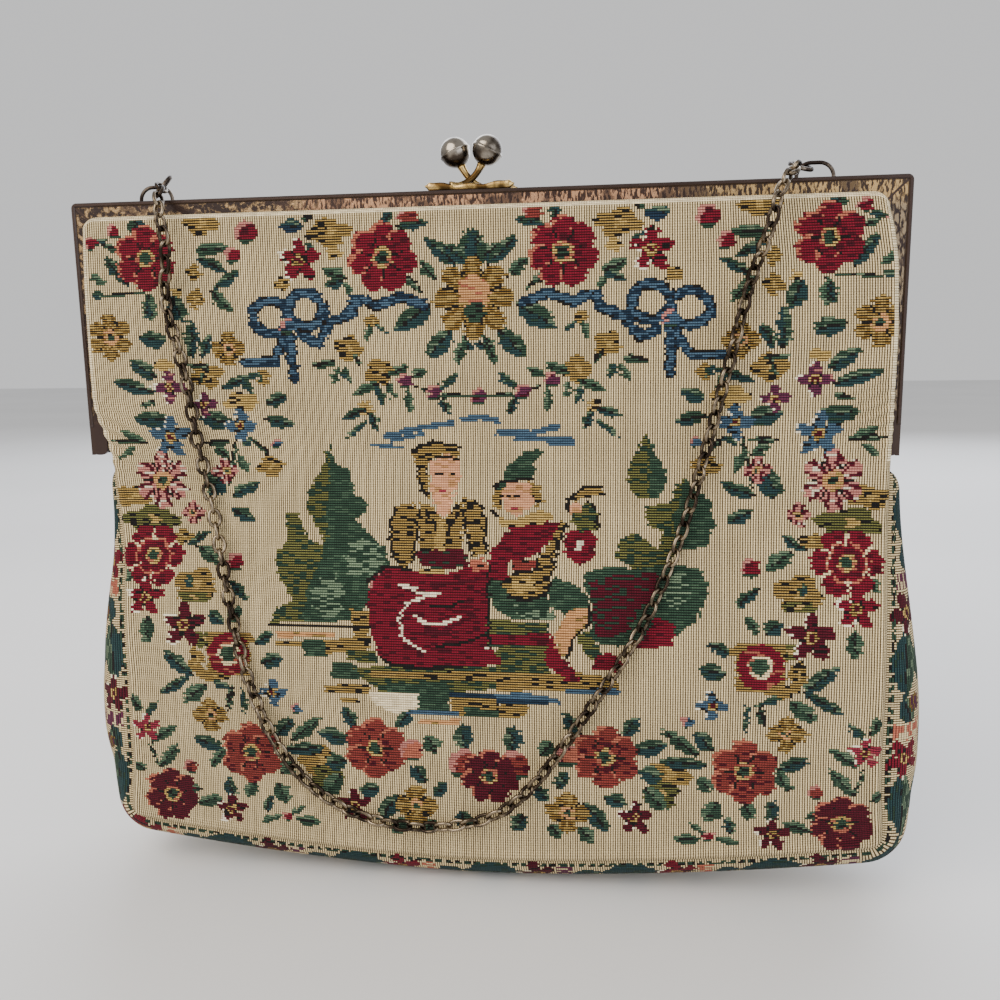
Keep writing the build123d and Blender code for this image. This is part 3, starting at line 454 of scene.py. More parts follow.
# Lines over them: yarn, width, run of points
STROKES = [
    ("steel", 1.2, [(-20.1, 52.5), (-8.0, 52.9)]),
    ("navy", 1.1, [(-9.2, 57.9), (3.3, 57.9)]),
    ("steel", 1.6, [(21.5, 59.5), (33.0, 59.8)]),
    ("steel", 1.5, [(3.3, 57.9), (11.7, 58.0), (18.5, 56.8)]),
    ("navy", 1.0, [(3.2, 56.6), (15.7, 56.4)]),
    ("steel", 1.6, [(-24.6, 124.0), (-16.7, 125.8), (-7.6, 127.3)]),
    ("steel", 1.3, [(-23.2, 122.8), (-15.4, 124.4)]),
    ("steel", 1.5, [(-4.6, 128.2), (0.3, 128.7), (5.0, 127.6)]),
    ("steel", 1.0, [(-28.4, 121.6), (-21.3, 120.9)]),
    ("steel", 1.7, [(4.8, 124.8), (13.1, 124.4), (19.8, 126.1)]),
    ("steel", 1.3, [(9.0, 123.2), (23.4, 123.0)]),
    ("steel", 1.1, [(17.1, 122.0), (24.0, 121.6)]),
    ("white", 0.8, [(-21.7, 85.2), (-18.5, 85), (-16.9, 83.3), (-12, 83.2)]),
    ("white", 0.8, [(-15.2, 82.6), (-20.1, 81), (-22.2, 77.1), (-21, 71.7), (-15.8, 68.6)]),
    ("white", 0.8, [(-18.5, 77.9), (-15.3, 76), (-10.5, 76.1), (-5.6, 77.7)]),
    ("pink", 0.9, [(-29.9, 84.7), (-29.5, 87), (-27.8, 88.6)]),
    ("black", 0.7, [(-14.5, 80.3), (-9.6, 80.2), (-4.7, 81.9)]),
    ("maroon", 0.9, [(-17, 73.3), (-10.5, 74.2), (-2.4, 78.1)]),
    ("black", 0.7, [(-12.2, 70.3), (-5.7, 71.2), (0.7, 73.6)]),
    ("maroon", 0.9, [(-13.6, 85.7), (-7.1, 86.1), (0.1, 87.4)]),
    ("black", 0.8, [(-30.3, 86.2), (-26.6, 90), (-20.1, 89.4)]),
    ("black", 0.7, [(1.5, 90.4), (1.3, 81.3), (1.5, 70.5)]),
    ("black", 0.8, [(-27.7, 67.2), (-23.6, 65), (-15.5, 64.6), (-5.8, 65.1)]),
    ("black", 0.8, [(-23.3, 104.9), (-25, 100.3), (-24.7, 95.6), (-22.9, 91)]),
    ("black", 0.7, [(-16.9, 104.3), (-17.9, 96.5), (-19.1, 91)]),
    ("black", 0.7, [(-5.2, 104.4), (-4.1, 98.1), (-3.2, 92.7)]),
    ("black", 0.8, [(-1.9, 106.9), (0.5, 102.8), (0.5, 93.5)]),
    ("black", 0.7, [(-15.4, 104.3), (-12.6, 99.6)]),
    ("black", 0.7, [(-6, 104.4), (-9.8, 98.1)]),
    ("black", 0.7, [(-18.6, 120.1), (-12.6, 122.5), (-5.9, 121.1)]),
    ("black", 0.7, [(-17, 116.3), (-16.7, 111.5), (-15.5, 107.9)]),
    ("black", 0.6, [(-14.5, 117.9), (-9.6, 118.5), (-6.1, 117.7)]),
    ("black", 0.9, [(21.4, 101), (18.9, 95.2), (17.7, 89.1), (16, 83.6), (10.8, 82), (6.3, 83.2)]),
    ("black", 0.7, [(15.4, 93.8), (12.8, 89), (7.8, 88.8), (4.9, 86)]),
    ("black", 0.8, [(22, 107.5), (22.1, 104.5)]),
    ("black", 0.7, [(22.8, 107.5), (26.8, 110.8), (31.2, 110.8)]),
    ("black", 0.7, [(27.5, 107), (29.8, 103.6), (29.5, 99.8)]),
    ("black", 0.7, [(3, 110.1), (4.8, 111.9), (13, 112.6)]),
    ("black", 0.7, [(2.5, 104.4), (3.8, 103)]),
    ("black", 0.7, [(27.1, 80.7), (26.7, 76.9), (23, 73.1), (21.4, 68.2)]),
    ("black", 0.8, [(-57.7, 74.8), (-30.4, 74.9)]),
    ("white", 0.8, [(1.5, 70.4), (0.7, 70.1)]),
]
FACES = [(-11.2, -8.0, 114.1, -10.2, 109.6), (6.6, 9.6, 108.2, 8.1, 104.8)]


FLECKS = {
    "flesh": ("peach", 0.2),
    "sage": ("green", 0.4),
    "olive": ("green", 0.3),
    "green": ("leaf", 0.25),
    "gold": ("black", 0.13),
    "maroon": ("green", 0.25),
    "crimson": ("maroon", 0.2),
    "peach": ("gold", 0.15),
}


def axis(z):
    """The middle of the pattern, which leans a little to the right on its way down."""
    return 0.3 + (172 - z) * 0.025


def leaned(points, side=1):
    """Points set beside the middle of the pattern, or mirrored to its other side."""
    return [(axis(z) + side * x, z) for x, z in points]


def border(cloth):
    """Flowers, leaves and striped patches that frame the lawn, and the bows above it."""
    for side in (1, -1):
        for yarn, x, z, wide, tall in PATCHES:
            x = axis(z) + side * x
            angle = np.arctan2((cloth.z - z) / tall, (cloth.x - x) / wide)
            size = np.hypot((cloth.x - x) / wide, (cloth.z - z) / tall)
            cloth.weave(size < 0.8 + 0.35 * np.abs(np.sin(2 * angle + x)), yarn, "black", 0.12)
            cloth.weave((size < 0.35) & (np.abs(angle) < 2), "butter")
        for tone, x, z, length, width, angle in LEAVES:
            angle = angle if side > 0 else 180 - angle
            leaf(cloth, axis(z) + side * x, z, length, width, angle, *LEAF_YARNS[tone])
        for points in BOW:
            ribbon(cloth, leaned(points, side))
        bud(cloth, *leaned([(-49.1, 152.9)], side)[0], 2.2, "steel")
        for look, yarn, x, z, radius, petals in FLOWERS:
            LOOKS[look](cloth, axis(z) + side * x, z, radius, yarn, petals)
    stripe(cloth, axis(159), 159, 10.5, "gold", 8)
    cloth.weave(cloth.polar(axis(161), 161)[0] < 3.8, "peach", "salmon", 0.15)
    cloth.weave(cloth.polar(axis(155), 155.5)[0] < 2.6, "green", "black", 0.2)
    bud(cloth, axis(134), 134, 2.2, "plum")
    rose(cloth, axis(36), 35.7, 7.8, "maroon", 7)
    cloth.weave(cloth.near(leaned([(-10, 134.3), (10, 134.3)]), 0.8), "green")


def company(cloth):
    """Two figures among trees on a lawn by the water, with faces of a few stitches."""
    for yarn, points in FIELDS:
        fleck, share = FLECKS.get(yarn, ("black", 0.06))
        cloth.weave(cloth.patch(leaned(points)), yarn, fleck, share)
    for yarn, width, points in STROKES:
        cloth.weave(cloth.near(leaned(points), width), yarn)
    for left_eye, right_eye, level, mouth, lower in FACES:
        for x in (left_eye, right_eye):
            cloth.weave(cloth.near(leaned([(x - 0.5, level), (x + 0.5, level)]), 0.7), "black")
        cloth.weave(cloth.near(leaned([(mouth - 0.4, lower), (mouth + 0.6, lower)]), 0.7), "rose")


def strip_pattern(cloth):
    """Pattern of the gusset, the same from both seams: short green bars along the seam, and then
    long leaves, blooms and small patches in turn."""
    cloth.weave((cloth.x % 2.6 < 1.7) & (cloth.z > 1.0) & (cloth.z < 2.2), "green", "black", 0.3)
    for step, x in enumerate(np.arange(4, cloth.x.max(), 37)):
        bloom, spare = (("crimson", "salmon"), ("maroon", "plum"))[step % 2]
        leaf(cloth, x, 5.5, 15, 6.5, 0, "green", "teal")
        leaf(cloth, x + 3, 11, 12, 5, 12, "leaf", "green")
        star(cloth, x + 20.5, 6, 5.6, bloom, 5, 40)
        cloth.weave((np.abs(cloth.x - x - 28) < 2.0) & (cloth.z > 2.5) & (cloth.z < 12), spare, "cream", 0.35)
        leaf(cloth, x + 30, 8, 7, 4.5, -25, "green", "teal")
        cloth.weave(cloth.polar(x + 35, 9)[0] < 2.3, "ochre", "plum", 0.3)
        leaf(cloth, x + 22, 13.5, 10, 4, 20, "leaf", "green")


# Meshes worked out as whole arrays


def fill_mesh(name, points, faces, shade_smooth=True):
    """New object from points in millimetres (n, 3) and faces (m, 4 or 3)."""
    mesh = bpy.data.meshes.new(name)
    sides = faces.shape[1]
    mesh.vertices.add(len(points))
    mesh.vertices.foreach_set("co", (points * MM).astype(np.float32).ravel())
    mesh.loops.add(faces.size)
    mesh.loops.foreach_set("vertex_index", faces.astype(np.int32).ravel())
    mesh.polygons.add(len(faces))
    mesh.polygons.foreach_set("loop_start", np.arange(0, faces.size, sides, dtype=np.int32))
    mesh.polygons.foreach_set("loop_total", np.full(len(faces), sides, np.int32))
    mesh.update(calc_edges=True)
    mesh.validate()
    mesh.polygons.foreach_set("use_smooth", np.full(len(mesh.polygons), shade_smooth))
    made = bpy.data.objects.new(name, mesh)
    bpy.context.scene.collection.objects.link(made)
    return made


def grid_faces(rows, columns, round_rows=False, round_columns=False):
    """Quads of a grid, facing the side from which rows run down and columns run right."""
    number = np.arange(rows * columns).reshape(rows, columns)
    if round_rows:
        number = np.vstack([number, number[:1]])
    if round_columns:
        number = np.hstack([number, number[:, :1]])
    corners = (number[:-1, :-1], number[1:, :-1], number[1:, 1:], number[:-1, 1:])
    return np.stack([corner.ravel() for corner in corners], axis=1)


def woven_sheet(name, points, cloth, material):
    """Cloth surface on a grid of points (rows + 1, columns + 1, 3), one stitch to a quad. The UV
    map counts the stitches; the attributes are the two colours of each stitch, with its cover and
    the width of its line in the fourth place."""
    rows, columns = points.shape[0] - 1, points.shape[1] - 1
    made = fill_mesh(name, points.reshape(-1, 3), grid_faces(rows + 1, columns + 1))
    mesh = made.data
    u, v = np.meshgrid(np.arange(columns), np.arange(rows))
    corners = [(0, 1), (0, 0), (1, 0), (1, 1)]
    uv = np.stack([np.stack([u + du, (rows - v) + dv - 1], axis=-1) for du, dv in corners], axis=2)
    layer = mesh.uv_layers.new(name="stitches")
    layer.uv.foreach_set("vector", (uv.reshape(-1, 2) / 64).astype(np.float32).ravel())
    for attribute, colours, share in (("thread", cloth.thread, cloth.cover), ("gap", cloth.gap, cloth.line)):
        rgba = np.concatenate([colours, share[..., None]], axis=-1)
        per_corner = np.repeat(rgba.reshape(-1, 4), 4, axis=0)
        layer = mesh.color_attributes.new(attribute, "FLOAT_COLOR", "CORNER")
        layer.data.foreach_set("color", per_corner.astype(np.float32).ravel())
    mesh.materials.append(material)
    return made


def frame_of(path, closed, lean):
    """Two directions square to a path at each of its points, the first nearest to lean."""
    if closed:
        way = np.roll(path, -1, axis=0) - np.roll(path, 1, axis=0)
    else:
        way = np.gradient(path, axis=0)
    way /= np.linalg.norm(way, axis=1, keepdims=True)
    lean = np.broadcast_to(np.asarray(lean, float), path.shape)
    first = lean - way * np.sum(lean * way, axis=1, keepdims=True)
    first /= np.linalg.norm(first, axis=1, keepdims=True)
    return first, np.cross(way, first)


def rod(name, path, radius, lean, material, sides=12, closed=False):
    """Round wire along a path: a circle of the radius about each point, square to the way. Open
    ends are closed by a ring of nearly no radius."""
    path = np.asarray(path, float)
    radius = np.broadcast_to(np.asarray(radius, float), len(path))
    if not closed:
        path = np.concatenate([path[:1], path, path[-1:]])
        radius = np.concatenate([[0.0], radius, [0.0]])
        first, second = frame_of(path[1:-1], False, lean)
        first = np.concatenate([first[:1], first, first[-1:]])
        second = np.concatenate([second[:1], second, second[-1:]])
    else:
        first, second = frame_of(path, True, lean)
    turn = np.linspace(0, 2 * np.pi, sides, endpoint=False)
    ring = first[:, None] * np.cos(turn)[None, :, None] + second[:, None] * np.sin(turn)[None, :, None]
    points = path[:, None] + ring * radius[:, None, None]
    faces = grid_faces(len(path), sides, round_rows=closed, round_columns=True)
    made = fill_mesh(name, points.reshape(-1, 3), faces)
    tidy_normals(made)
    made.data.materials.append(material)
    return made


def tidy_normals(made):
    """Merges doubled points and turns the faces of a closed piece outwards."""
    work = bmesh.new()
    work.from_mesh(made.data)
    bmesh.ops.remove_doubles(work, verts=work.verts, dist=2e-6)
    bmesh.ops.recalc_face_normals(work, faces=work.faces)
    work.to_mesh(made.data)
    work.free()
    made.data.polygons.foreach_set("use_smooth", np.ones(len(made.data.polygons), bool))


def join(name, pieces):
    """Makes one object of several."""
    with bpy.context.temp_override(active_object=pieces[0], selected_editable_objects=pieces):
        bpy.ops.object.join()
    pieces[0].name = pieces[0].data.name = name
    return pieces[0]


def turned(name, profile, centre, way, material, sides=48):
    """Round body: radii and heights of a profile turned about a direction through a centre."""
    way = np.asarray(way, float) / np.linalg.norm(way)
    lean = np.array([0.0, 1.0, 0.0]) if abs(way[1]) < 0.9 else np.array([1.0, 0.0, 0.0])
    first = np.cross(lean, way)
    first /= np.linalg.norm(first)
    second = np.cross(way, first)
    turn = np.linspace(0, 2 * np.pi, sides, endpoint=False)
    radius, height = np.array(profile, float).T
    ring = first[None] * np.cos(turn)[:, None] + second[None] * np.sin(turn)[:, None]
    points = np.asarray(centre) + ring[None] * radius[:, None, None] + way * height[:, None, None]
    made = fill_mesh(name, points.reshape(-1, 3), grid_faces(len(radius), sides, round_columns=True))
    tidy_normals(made)
    made.data.materials.append(material)
    return made


# Shader building


def node(tree, kind, inputs=None, **settings):
    """Adds a node, sets its properties, and its inputs from values or other nodes' sockets."""
    made = tree.nodes.new("ShaderNode" + kind)
    for key, value in settings.items():
        setattr(made, key, value)
    for key, value in (inputs or {}).items():
        if isinstance(value, bpy.types.NodeSocket):
            tree.links.new(value, made.inputs[key])
        else:
            made.inputs[key].default_value = value
    return made


def sums(tree, operation, a, b=0.0, c=0.0):
    """Output of a math node on up to three values."""
    return node(tree, "Math", {0: a, 1: b, 2: c}, operation=operation).outputs[0]


def blended(tree, share, a, b):
    """Colour between a and b by a share."""
    made = node(tree, "Mix", {0: share, 6: a, 7: b}, data_type="RGBA")
    return made.outputs[2]


def ramp(tree, value, low, high, to_low=0.0, to_high=1.0):
    """Value mapped from a range to another, smoothly and without going past it."""
    inputs = {0: value, 1: low, 2: high, 3: to_low, 4: to_high}
    return node(tree, "MapRange", inputs, interpolation_type="SMOOTHSTEP").outputs[0]


def group(name, inputs, outputs):
    """New node group with named inputs (name, kind, value) and outputs (name, kind)."""
    tree = bpy.data.node_groups.new(name, "ShaderNodeTree")
    for title, kind, value in inputs:
        socket = tree.interface.new_socket(title, in_out="INPUT", socket_type="NodeSocket" + kind)
        if value is not None:
            socket.default_value = value
    for title, kind in outputs:
        tree.interface.new_socket(title, in_out="OUTPUT", socket_type="NodeSocket" + kind)
    return tree, tree.nodes.new("NodeGroupInput").outputs, tree.nodes.new("NodeGroupOutput").inputs


def use(tree, shared, inputs):
    """Places a node group in a material with its own values."""
    made = tree.nodes.new("ShaderNodeGroup")
    made.node_tree = shared
    for key, value in inputs.items():
        if isinstance(value, bpy.types.NodeSocket):
            tree.links.new(value, made.inputs[key])
        else:
            made.inputs[key].default_value = value
    return made.outputs


def new_material(name):
    """Material with a bare Principled shader; returns it, its tree and the shader."""
    made = bpy.data.materials.new(name)
    made.use_nodes = True
    tree = made.node_tree
    tree.nodes.clear()
    shader = tree.nodes.new("ShaderNodeBsdfPrincipled")
    end = tree.nodes.new("ShaderNodeOutputMaterial")
    tree.links.new(shader.outputs[0], end.inputs[0])
    return made, tree, shader


def set_sockets(tree, shader, **values):
    """Sets the shader's sockets, named with _ for a space, from values or links."""
    for key, value in values.items():
        socket = shader.inputs[key.replace("_", " ")]
        if isinstance(value, bpy.types.NodeSocket):
            tree.links.new(value, socket)
        else:
            socket.default_value = value


def stitch_group():
    """Threads inside each stitch. The ground shows ribs that run up and down with a dark line
    between them; the figures show dashes that run across, with a line between the rows as wide as
    the yarn has it. Height is 1 on top of a thread."""
    tree, given, out = group(
        "stitches",
        [("Stitch", "Vector", None), ("Thread", "Color", (1, 1, 1, 1)), ("Gap", "Color", (0, 0, 0, 1)),
         ("Cover", "Float", 0.0), ("Line", "Float", 0.1)],
        [("Color", "Color"), ("Height", "Float")],
    )
    split = node(tree, "SeparateXYZ", {0: given["Stitch"]}).outputs
    fuzz = node(tree, "TexNoise", {"Vector": given["Stitch"], "Scale": 1.7, "Detail": 3.0}).outputs[0]
    waver = sums(tree, "MULTIPLY_ADD", fuzz, 0.24, -0.12)
    across, down = (
        sums(tree, "ADD", sums(tree, "ABSOLUTE", sums(tree, "SUBTRACT", sums(tree, "FRACT", way), 0.5)), waver)
        for way in (split[0], split[1])
    )
    rib = ramp(tree, across, 0.42, 0.15)
    ground = sums(tree, "MULTIPLY", rib, ramp(tree, down, 0.5, 0.2, 0.6, 1.0))
    edge = sums(tree, "SUBTRACT", 0.5, given["Line"])
    low, high = sums(tree, "ADD", edge, 0.07), sums(tree, "SUBTRACT", edge, 0.07)
    figure = sums(tree, "MULTIPLY", ramp(tree, down, low, high), ramp(tree, across, 0.5, 0.26, 0.55, 1.0))
    height = node(tree, "Mix", {0: given["Cover"], 2: ground, 3: figure}, data_type="FLOAT").outputs[0]
    cloud = node(tree, "TexNoise", {"Vector": given["Stitch"], "Scale": 0.045, "Detail": 4.0}).outputs[0]
    shade = sums(tree, "MULTIPLY_ADD", fuzz, 0.7, sums(tree, "MULTIPLY_ADD", cloud, 0.5, 0.4))
    colour = blended(tree, height, given["Gap"], given["Thread"])
    mixed = node(tree, "Mix", {0: 1.0, 6: colour, 7: shade}, data_type="RGBA", blend_type="MULTIPLY")
    tree.links.new(mixed.outputs[2], out["Color"])
    tree.links.new(height, out["Height"])
    return tree


STITCHES = stitch_group()


def tapestry_material(name):
    """Woven wool and cotton: the colours of the stitches with their threads' relief."""
    made, tree, shader = new_material(name)
    places = node(tree, "UVMap", uv_map="stitches").outputs[0]
    counted = node(tree, "VectorMath", {0: places, 1: (64, 64, 64)}, operation="MULTIPLY").outputs[0]
    thread = node(tree, "VertexColor", layer_name="thread").outputs
    gap = node(tree, "VertexColor", layer_name="gap").outputs
    colours = {"Thread": thread[0], "Gap": gap[0], "Cover": thread[1], "Line": gap[1]}
    stitch = use(tree, STITCHES, {"Stitch": counted, **colours})
    bump = node(tree, "Bump", {"Strength": 0.8, "Distance": 0.00025, "Height": stitch["Height"]})
    rough = sums(tree, "MULTIPLY_ADD", stitch["Height"], -0.1, 0.95)
    set_sockets(tree, shader, Base_Color=stitch["Color"], Roughness=rough, Normal=bump.outputs[0])
    set_sockets(tree, shader, Sheen_Weight=0.03, Sheen_Roughness=0.5, Specular_IOR_Level=0.15)
    return made


def worn_group():
    """Rubbed metal: a share that is high where the surface is worn bright, and a fine grain."""
    tree, given, out = group(
        "rubbed_metal",
        [("Place", "Vector", None), ("Patch", "Float", 90.0), ("Grain", "Float", 1500.0)],
        [("Wear", "Float"), ("Grain", "Float")],
    )
    patch = node(tree, "TexNoise", {"Vector": given["Place"], "Scale": given["Patch"], "Detail": 4.0}).outputs[0]
    grain = node(tree, "TexNoise", {"Vector": given["Place"], "Scale": given["Grain"], "Detail": 2.0}).outputs[0]
    tree.links.new(ramp(tree, patch, 0.42, 0.62), out["Wear"])
    tree.links.new(grain, out["Grain"])
    return tree


WORN = worn_group()


def rgba(hex_colour):
    """Colour socket value of a colour written as six hex digits."""
    return (*linear(hex_colour), 1.0)


def metal_material(name, bright, dark, rough=0.3, patch=90.0, grain=1500.0):
    """Bare or gilt metal, darker and rougher where it is tarnished."""
    made, tree, shader = new_material(name)
    place = node(tree, "TexCoord").outputs["Object"]
    worn = use(tree, WORN, {"Place": place, "Patch": patch, "Grain": grain})
    colour = blended(tree, worn["Wear"], rgba(dark), rgba(bright))
    roughness = sums(tree, "MULTIPLY_ADD", worn["Wear"], -0.15, rough + 0.15)
    bump = node(tree, "Bump", {"Strength": 0.15, "Distance": 0.0001, "Height": worn["Grain"]})
    set_sockets(tree, shader, Base_Color=colour, Metallic=1.0, Roughness=roughness, Normal=bump.outputs[0])
    return made


def bronze_frame_material():
    """Embossed flange: fine tan mottle on dark brown at the left, copper with fine dark slanting
    strokes in the middle, gold with strokes at the right corner and cream strokes on the right
    arm, under a dark bronze rim; the ears and the rubbed patches are plain dark brown."""
    made, tree, shader = new_material("embossed_bronze")
    place = node(tree, "TexCoord").outputs["Object"]
    split = node(tree, "SeparateXYZ", {0: place}).outputs
    wide = sums(tree, "ABSOLUTE", split[0])
    worn = use(tree, WORN, {"Place": place, "Patch": 95.0, "Grain": 1400.0})
    mottle = node(tree, "TexNoise", {"Vector": place, "Scale": 620.0, "Detail": 5.0, "Roughness": 0.65}).outputs[0]
    slant = node(tree, "Mapping", {0: place, "Rotation": (0, 0.8, 0), "Scale": (1, 1, 0.3)}).outputs[0]
    strokes = node(tree, "TexNoise", {"Vector": slant, "Scale": 1700.0, "Detail": 3.0, "Distortion": 0.4}).outputs[0]
    lace, stroke = ramp(tree, mottle, 0.47, 0.6), ramp(tree, strokes, 0.44, 0.58)
    left = blended(tree, lace, rgba("261a16"), rgba("967b56"))
    copper = blended(tree, stroke, rgba("33211a"), rgba("a87f5e"))
    gold = blended(tree, stroke, rgba("33251a"), rgba("ab8c5c"))
    arm = blended(tree, stroke, rgba("261b18"), rgba("85735a"))
    field = blended(tree, ramp(tree, split[0], -0.052, -0.034), left, copper)
    field = blended(tree, ramp(tree, split[0], 0.044, 0.062), field, gold)
    field = blended(tree, sums(tree, "MULTIPLY", ramp(tree, split[0], 0.1, 0.1035), ramp(tree, split[2], 0.181, 0.177)), field, arm)
    bare = sums(tree, "MULTIPLY", ramp(tree, worn["Wear"], 0.75, 1.0), 0.75)
    bare = sums(tree, "MAXIMUM", bare, ramp(tree, split[2], 0.13, 0.1255))
    field = blended(tree, bare, field, rgba("33241f"))
    rim = sums(tree, "MAXIMUM", ramp(tree, wide, 0.1065, 0.107), ramp(tree, split[2], 0.1836, 0.184))
    mitre = sums(tree, "ABSOLUTE", sums(tree, "SUBTRACT", sums(tree, "SUBTRACT", wide, split[2]), -0.077))
    rim = sums(tree, "MAXIMUM", rim, ramp(tree, mitre, 0.0005, 0.0003))
    colour = blended(tree, rim, field, rgba("35261f"))
    relief = node(tree, "Mix", {0: ramp(tree, split[0], -0.052, -0.034), 2: lace, 3: stroke}, data_type="FLOAT").outputs[0]
    flat = sums(tree, "MULTIPLY", relief, sums(tree, "SUBTRACT", 1.0, sums(tree, "MAXIMUM", rim, bare)))
    bump = node(tree, "Bump", {"Strength": 0.6, "Distance": 0.00018, "Height": flat})
    rough = sums(tree, "MULTIPLY_ADD", worn["Wear"], -0.15, 0.45)
    set_sockets(tree, shader, Base_Color=colour, Metallic=0.75, Roughness=rough, Normal=bump.outputs[0])
    set_sockets(tree, shader, Coat_Weight=0.25, Coat_Roughness=0.2)
    return made


def lining_material(name):
    """Beige satin with a fine twill, and soft clouds in its tone and gloss."""
    made, tree, shader = new_material(name)
    place = node(tree, "TexCoord").outputs["Object"]
    fine = node(tree, "TexWave", {"Vector": place, "Scale": 900.0, "Distortion": 1.5}, bands_direction="DIAGONAL")
    cloud = node(tree, "TexNoise", {"Vector": place, "Scale": 45.0, "Detail": 4.0}).outputs[0]
    colour = blended(tree, ramp(tree, cloud, 0.35, 0.7), rgba("b9a585"), rgba("c9b796"))
    bump = node(tree, "Bump", {"Strength": 0.3, "Distance": 0.0001, "Height": fine.outputs[1]})
    rough = sums(tree, "MULTIPLY_ADD", cloud, 0.2, 0.35)
    set_sockets(tree, shader, Base_Color=colour, Roughness=rough, Normal=bump.outputs[0])
    set_sockets(tree, shader, Sheen_Weight=0.2, Anisotropic=0.4)
    return made


TAPESTRY = tapestry_material("tapestry")
BRONZE = bronze_frame_material()
GUNMETAL = metal_material("gunmetal", "8f877b", "3f372f", 0.16, 160.0)
GILT = metal_material("gilt", "bfa065", "4a371d", 0.26, 220.0)
WIRE = metal_material("dark_wire", "6f655a", "2c2420", 0.28, 260.0)
LINKS = metal_material("antique_links", "857763", "2e2620", 0.24, 180.0)
SATIN = lining_material("satin_lining")


# Tapestry panels and the strip between them


def drawn_line(z, levels, places):
    """Edge through places at levels, with its bends eased over six millimetres."""
    fine = np.arange(-10, 200.0)
    line = np.interp(fine, levels[::-1], places[::-1])
    eased = np.convolve(np.pad(line, 3, "edge"), np.ones(7) / 7, "valid")
    return np.interp(z, fine, eased)


def left_edge(z):
    """Left edge of the panels: beside the frame's arm, then drawn in under it to the belly."""
    levels = [182, 162, 145, 130, 122, 117, 108, 87, 58, 27, 15]
    return drawn_line(z, levels, [-104.8, -105.8, -106.1, -106.1, -103, -101.8, -100.6, -97.4, -95, -95.6, -96.9])


def right_edge(z):
    """Right edge: set in at the top, then nearly straight."""
    levels = [182, 165, 148, 124, 106, 92, 70, 45, 24, 15]
    return drawn_line(z, levels, [102.4, 105.4, 106.2, 106.1, 105.8, 105.4, 104.6, 104.3, 104.8, 105.4])


def panel_points():
    """Grid of a panel: width, distance from the middle plane, height, and distance from the edge.
    Columns are ribs and rows are rows of weft, straight in the middle of the cloth and bent to its
    edges, which are turned under. The bottom seam sags in the middle; its corners are round."""
    fold = np.array([0, 0.12, 0.4, 0.8, 1.25])
    levels = [PANEL_TOP - fold, np.arange(PANEL_TOP - 1.9, SEAM + 1.9, -ROW), SEAM + fold[::-1]]
    half = np.concatenate([np.arange(RIB / 2, PANEL_HALF - 1.6, RIB), PANEL_HALF - fold[::-1]])
    x0, z0 = np.meshgrid(np.concatenate([-half[::-1], half]), np.concatenate(levels))
    left, right = left_edge(z0), right_edge(z0)
    spread = np.where(x0 < 0, left + PANEL_HALF, right - PANEL_HALF)
    x = x0 + spread * smooth(np.abs(x0), 40, PANEL_HALF)
    inset = np.minimum(x - left, right - x)
    sag = 9.0 + 9.0 * (np.abs(x + 2) / 105) ** 1.7
    corner = np.maximum(SEAM_CORNER - inset, 0)
    base = sag + SEAM_CORNER - np.sqrt(np.maximum(SEAM_CORNER**2 - corner**2, 0))
    z = z0 + (base - SEAM) * (1 - smooth(z0, SEAM, 42))
    corner = np.maximum(4 - inset, 0)
    z = z - (4 - np.sqrt(np.maximum(16 - corner**2, 0))) * smooth(z0, 172, PANEL_TOP)
    edge = np.minimum(inset, np.minimum(z0 - SEAM, PANEL_TOP - z0))
    seam = 1 - smooth(z0, 116, 124)
    under = 1 - np.sqrt(np.clip(1 - (1 - np.clip(edge, 0, 1.2) / 1.2) ** 2, 0, 1))
    rise = -1.2 * under * (1 + 0.5 * seam) + 0.45 * hill(edge, 1.9, 1.0) * seam
    rise += 0.15 * np.sin(x0 / 23 + 1) * np.sin(z0 / 31) * smooth(edge, 2, 20)
    rise += 0.5 * hill(z0, 122, 9) * hill(x0, -101, 9) * np.sin(0.93 * (x0 + 104) + 1.7 * (z0 - 122))
    rise += 0.5 * hill(z0, 127, 9) * hill(x0, 103, 12) * np.sin(1.1 * (104 - x0) + 2.2 * (z0 - 126))
    return x, cloth_depth(z) + CLOTH + rise, z, edge


def middles(grid):
    """Middle of each quad of a grid."""
    return (grid[:-1, :-1] + grid[1:, :-1] + grid[:-1, 1:] + grid[1:, 1:]) / 4


def panel(name, flip):
    """Woven panel of the front, or of the back where the width runs the other way."""
    x, depth, z, edge = (grid[:, ::flip] for grid in panel_points())
    x_flat, z_flat = middles(flip * x), middles(z)
    cloth = Cloth(0.984 * x_flat + 0.0063 * z_flat - 1.46, 0.991 * z_flat - 0.0038 * x_flat + 2.5, 5 + flip)
    border(cloth)
    company(cloth)
    # Painted highlight: a paler yarn along the turned-under edge above the hinges stands in for the light that
    # catches the rolled edge
    cloth.weave((middles(edge) < 1.2) & (middles(z) > 116), "bleached")
    return woven_sheet(name, np.stack([x, -flip * depth, z], axis=-1), cloth, TAPESTRY)


front = panel("tapestry_front", 1)
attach(front, "bag")
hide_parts("front_panel")

back = panel("tapestry_back", -1)
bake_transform(back)
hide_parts("back_panel")


